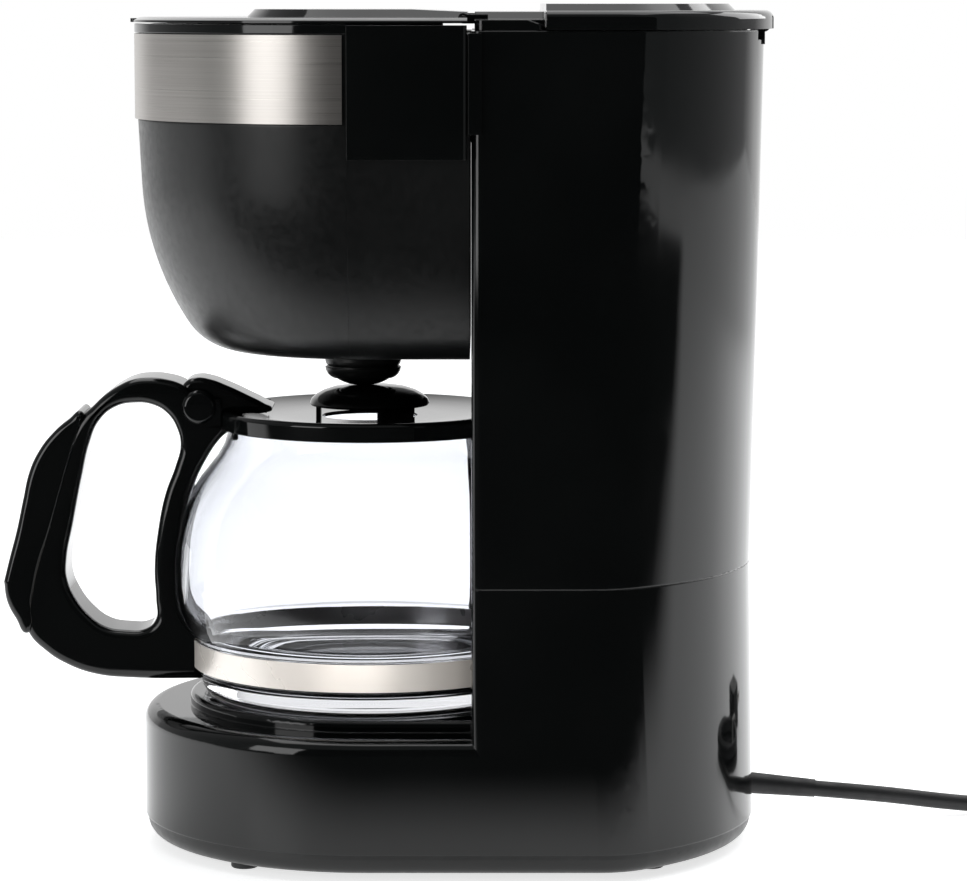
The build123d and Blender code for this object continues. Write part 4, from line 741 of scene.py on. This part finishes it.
POT = (0.0, -5.5)
print("round pieces grow from", POT)

# %% The lid's dish
DISH = [
    (45.6, 131.3), (47.5, 131.3), (47.5, 136.0), (46.9, 136.9), (45.6, 137.1), (43.8, 136.5), (40.0, 135.6),
    (32.0, 135.0), (24.0, 134.8), (15.0, 134.8), (15.0, 133.6), (45.6, 133.6), (45.6, 131.3),
]
lid = turned("pot_lid", DISH, POT, 0.3)
dressed(lid, gloss_black, "carafe")
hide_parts("carafe_lid")
print("lid", len(lid.data.polygons), "faces")

# %% [markdown]
# ## Cap and its posts
# Coffee drips onto a domed cap and runs round its edge into the pot, through the slots between three short posts. The
# cap is turned like the lid. A post is a bit of curved wall: an upright rectangle spun part of the way round. Cutting
# slots out of a whole ring would leave the same posts, with more steps.

# %% The cap over the lid's hole
CAP = [
    (AXIS, 138.6), (16.4, 138.6), (16.9, 138.2), (18.6, 138.2), (19.0, 138.8), (18.4, 140.2), (16.8, 141.6),
    (14.6, 142.8), (11.4, 143.8), (7.0, 144.4), (2.5, 144.55), (AXIS, 144.55),
]
cap = turned("pot_cap", CAP, POT)
dressed(cap, gloss_black, "carafe")
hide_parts("flow_cap")
print("cap", len(cap.data.polygons), "faces")


# %% Posts under the cap
POST_REACH, POST_THICKNESS = 16.2, 1.6
POST_LOW, POST_HIGH = 134.4, 139.0
POST_ANGLES = [(262, 10), (10, 46), (124, 46)]


def cap_post(name, start, sweep):
    """An upright bit of wall that follows a circle round the pot's middle."""
    turn = radians(start)
    middle = Vector((
        POT[0] + POST_REACH * cos(turn), POT[1] + POST_REACH * sin(turn), (POST_LOW + POST_HIGH) / 2
    )) * MM
    bpy.ops.mesh.primitive_plane_add(size=1, location=middle, rotation=(pi / 2, 0, turn))
    piece = bpy.context.object
    piece.name = name
    piece.scale = (POST_THICKNESS * MM, (POST_HIGH - POST_LOW) * MM, 1)
    bpy.ops.object.transform_apply(location=True, rotation=True, scale=True)
    bpy.ops.object.mode_set(mode="EDIT")
    bpy.ops.mesh.select_all(action="SELECT")
    steps = max(2, int(sweep / 4))
    bpy.ops.mesh.spin(steps=steps, angle=-radians(sweep), center=(POT[0] * MM, POT[1] * MM, 0), axis=(0, 0, 1))
    bpy.ops.object.mode_set(mode="OBJECT")
    close_up(WELD)
    bpy.ops.object.shade_smooth_by_angle(angle=radians(30))
    dressed(piece, gloss_black, "carafe")


for number, (start, sweep) in enumerate(POST_ANGLES):
    cap_post(f"cap_post_{number}", start, sweep)
print(len(POST_ANGLES), "posts")

# %% [markdown]
# ## Glass
# The pot is blown glass with a real wall, about two millimetres thick. Its section runs up the outside, over the rim
# and down the inside, so one turned piece has both faces. A single skin with a Solidify modifier would be quicker to
# draw, but the foot is thicker than the side, and glass bends light by its true thickness.

# %% The glass itself
OUTSIDE = [
    (AXIS, 50.2), (30.0, 49.6), (42.0, 48.8), (46.5, 47.9), (49.0, 47.5), (51.2, 47.6), (53.0, 48.6), (53.8, 50.2),
    (54.2, 52.4), (55.0, 54.2), (55.7, 55.2), (55.75, 60.0), (55.75, 64.3), (56.4, 65.3), (58.2, 67.4), (60.0, 70.6),
    (61.3, 74.2), (62.1, 78.4), (62.35, 83.0), (62.2, 88.5), (61.6, 94.5), (60.4, 100.5), (58.7, 106.0),
    (56.4, 111.0), (53.6, 115.6), (50.6, 119.4), (48.0, 122.8), (46.0, 126.6), (44.8, 130.6), (44.2, 133.0),
]
INSIDE = [
    (42.4, 133.0), (42.9, 130.0), (44.2, 126.0), (46.4, 121.8), (49.0, 118.2), (51.9, 114.4), (54.6, 110.0),
    (56.8, 105.2), (58.4, 100.0), (59.6, 94.2), (60.2, 88.4), (60.35, 83.0), (60.1, 78.8), (59.3, 75.0),
    (58.0, 71.8), (56.0, 68.8), (54.2, 66.6), (53.6, 64.6), (53.6, 58.6), (52.6, 55.8), (50.0, 54.0), (45.0, 53.0),
    (36.0, 52.8), (20.0, 53.2), (AXIS, 53.4),
]
GLASS_SIDES = 160
glass = turned("pot_glass", OUTSIDE + INSIDE, POT, sides=GLASS_SIDES)
dressed(glass, carafe_glass_finish, "carafe")
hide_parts("carafe_glass")
print("glass", len(glass.data.polygons), "faces")

# %% [markdown]
# ## Fit the handle
# The real handle hugs the glass, the band and the lid. Drawing its inner edge to fit a round pot would be hard, and a
# flat outline can't do it. So a round tool is turned from the glass's own outside, a hair wider, and cut out of the
# handle.

# %% Fit the handle round the glass, the band and the lid
CLEAR = 0.12
TOOL_WELD = 4e-6
BAND_REACH, BAND_TOP = 56.8, 64.6
LID_REACH, LID_FOOT = 47.7, 130.9
side_line = [(reach + CLEAR, height) for reach, height in OUTSIDE if BAND_TOP < height < LID_FOOT - 0.1]
FIT = [
    (AXIS, 40.0), (BAND_REACH, 40.0), (BAND_REACH, BAND_TOP), *side_line, (LID_REACH, LID_FOOT),
    (LID_REACH, 160.0), (AXIS, 160.0),
]
fit = turned("fit", FIT, POT, sides=GLASS_SIDES, weld=TOOL_WELD)
use_only(handle)
cut = handle.modifiers.new("fit", "BOOLEAN")
cut.operation, cut.object, cut.solver = "DIFFERENCE", fit, "EXACT"
bpy.ops.object.modifier_apply(modifier="fit")
bpy.data.objects.remove(fit)
bpy.ops.object.shade_smooth_by_angle(angle=radians(40))
even_light(handle)
print("handle", len(handle.data.polygons), "faces")

# %% [markdown]
# ## Nub under the lid's rim
# A small nub under the rim keeps the lid from turning. It is the same kind of short round piece as the hinge's
# bosses, only upright and much smaller.

# %% The nub
round_stud("rim_nub", 32, 1.0, 2.6, (0.0212, -0.0469, 0.1305), (0, 0, 0), 0.4, 3)

# %% [markdown]
# ## Drip stop
# The drip stop is a small round button in a bowl-shaped skirt. The pot's cap pushes it up and coffee runs, and with
# the pot away a spring shuts it. The button is free to rise inside the skirt, so the two are grown as separate pieces
# and ride on different bodies.

# %% The skirt
NOSE = (0.0, -7.5)
SKIRT = [(9.6, 150.3), (12.0, 150.3), (11.8, 149.2), (11.2, 148.1), (10.2, 147.2), (9.6, 146.9), (9.6, 150.3)]
skirt = turned("drip_skirt", SKIRT, NOSE, 0.1)
dressed(skirt, satin_black, "filter_holder")
print("skirt", len(skirt.data.polygons), "faces")

# %% The button
BUTTON = [
    (AXIS, 144.62), (3.4, 144.66), (4.7, 144.9), (6.4, 145.5), (8.0, 146.3), (8.9, 147.2), (9.1, 148.4),
    (9.1, 154.2), (3.0, 154.2), (3.0, 160.0), (AXIS, 160.0),
]
button = turned("drip_button", BUTTON, NOSE, 0.15)
dressed(button, gloss_black, "drip_stop")
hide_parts("valve_plunger")
print("button", len(button.data.polygons), "faces")
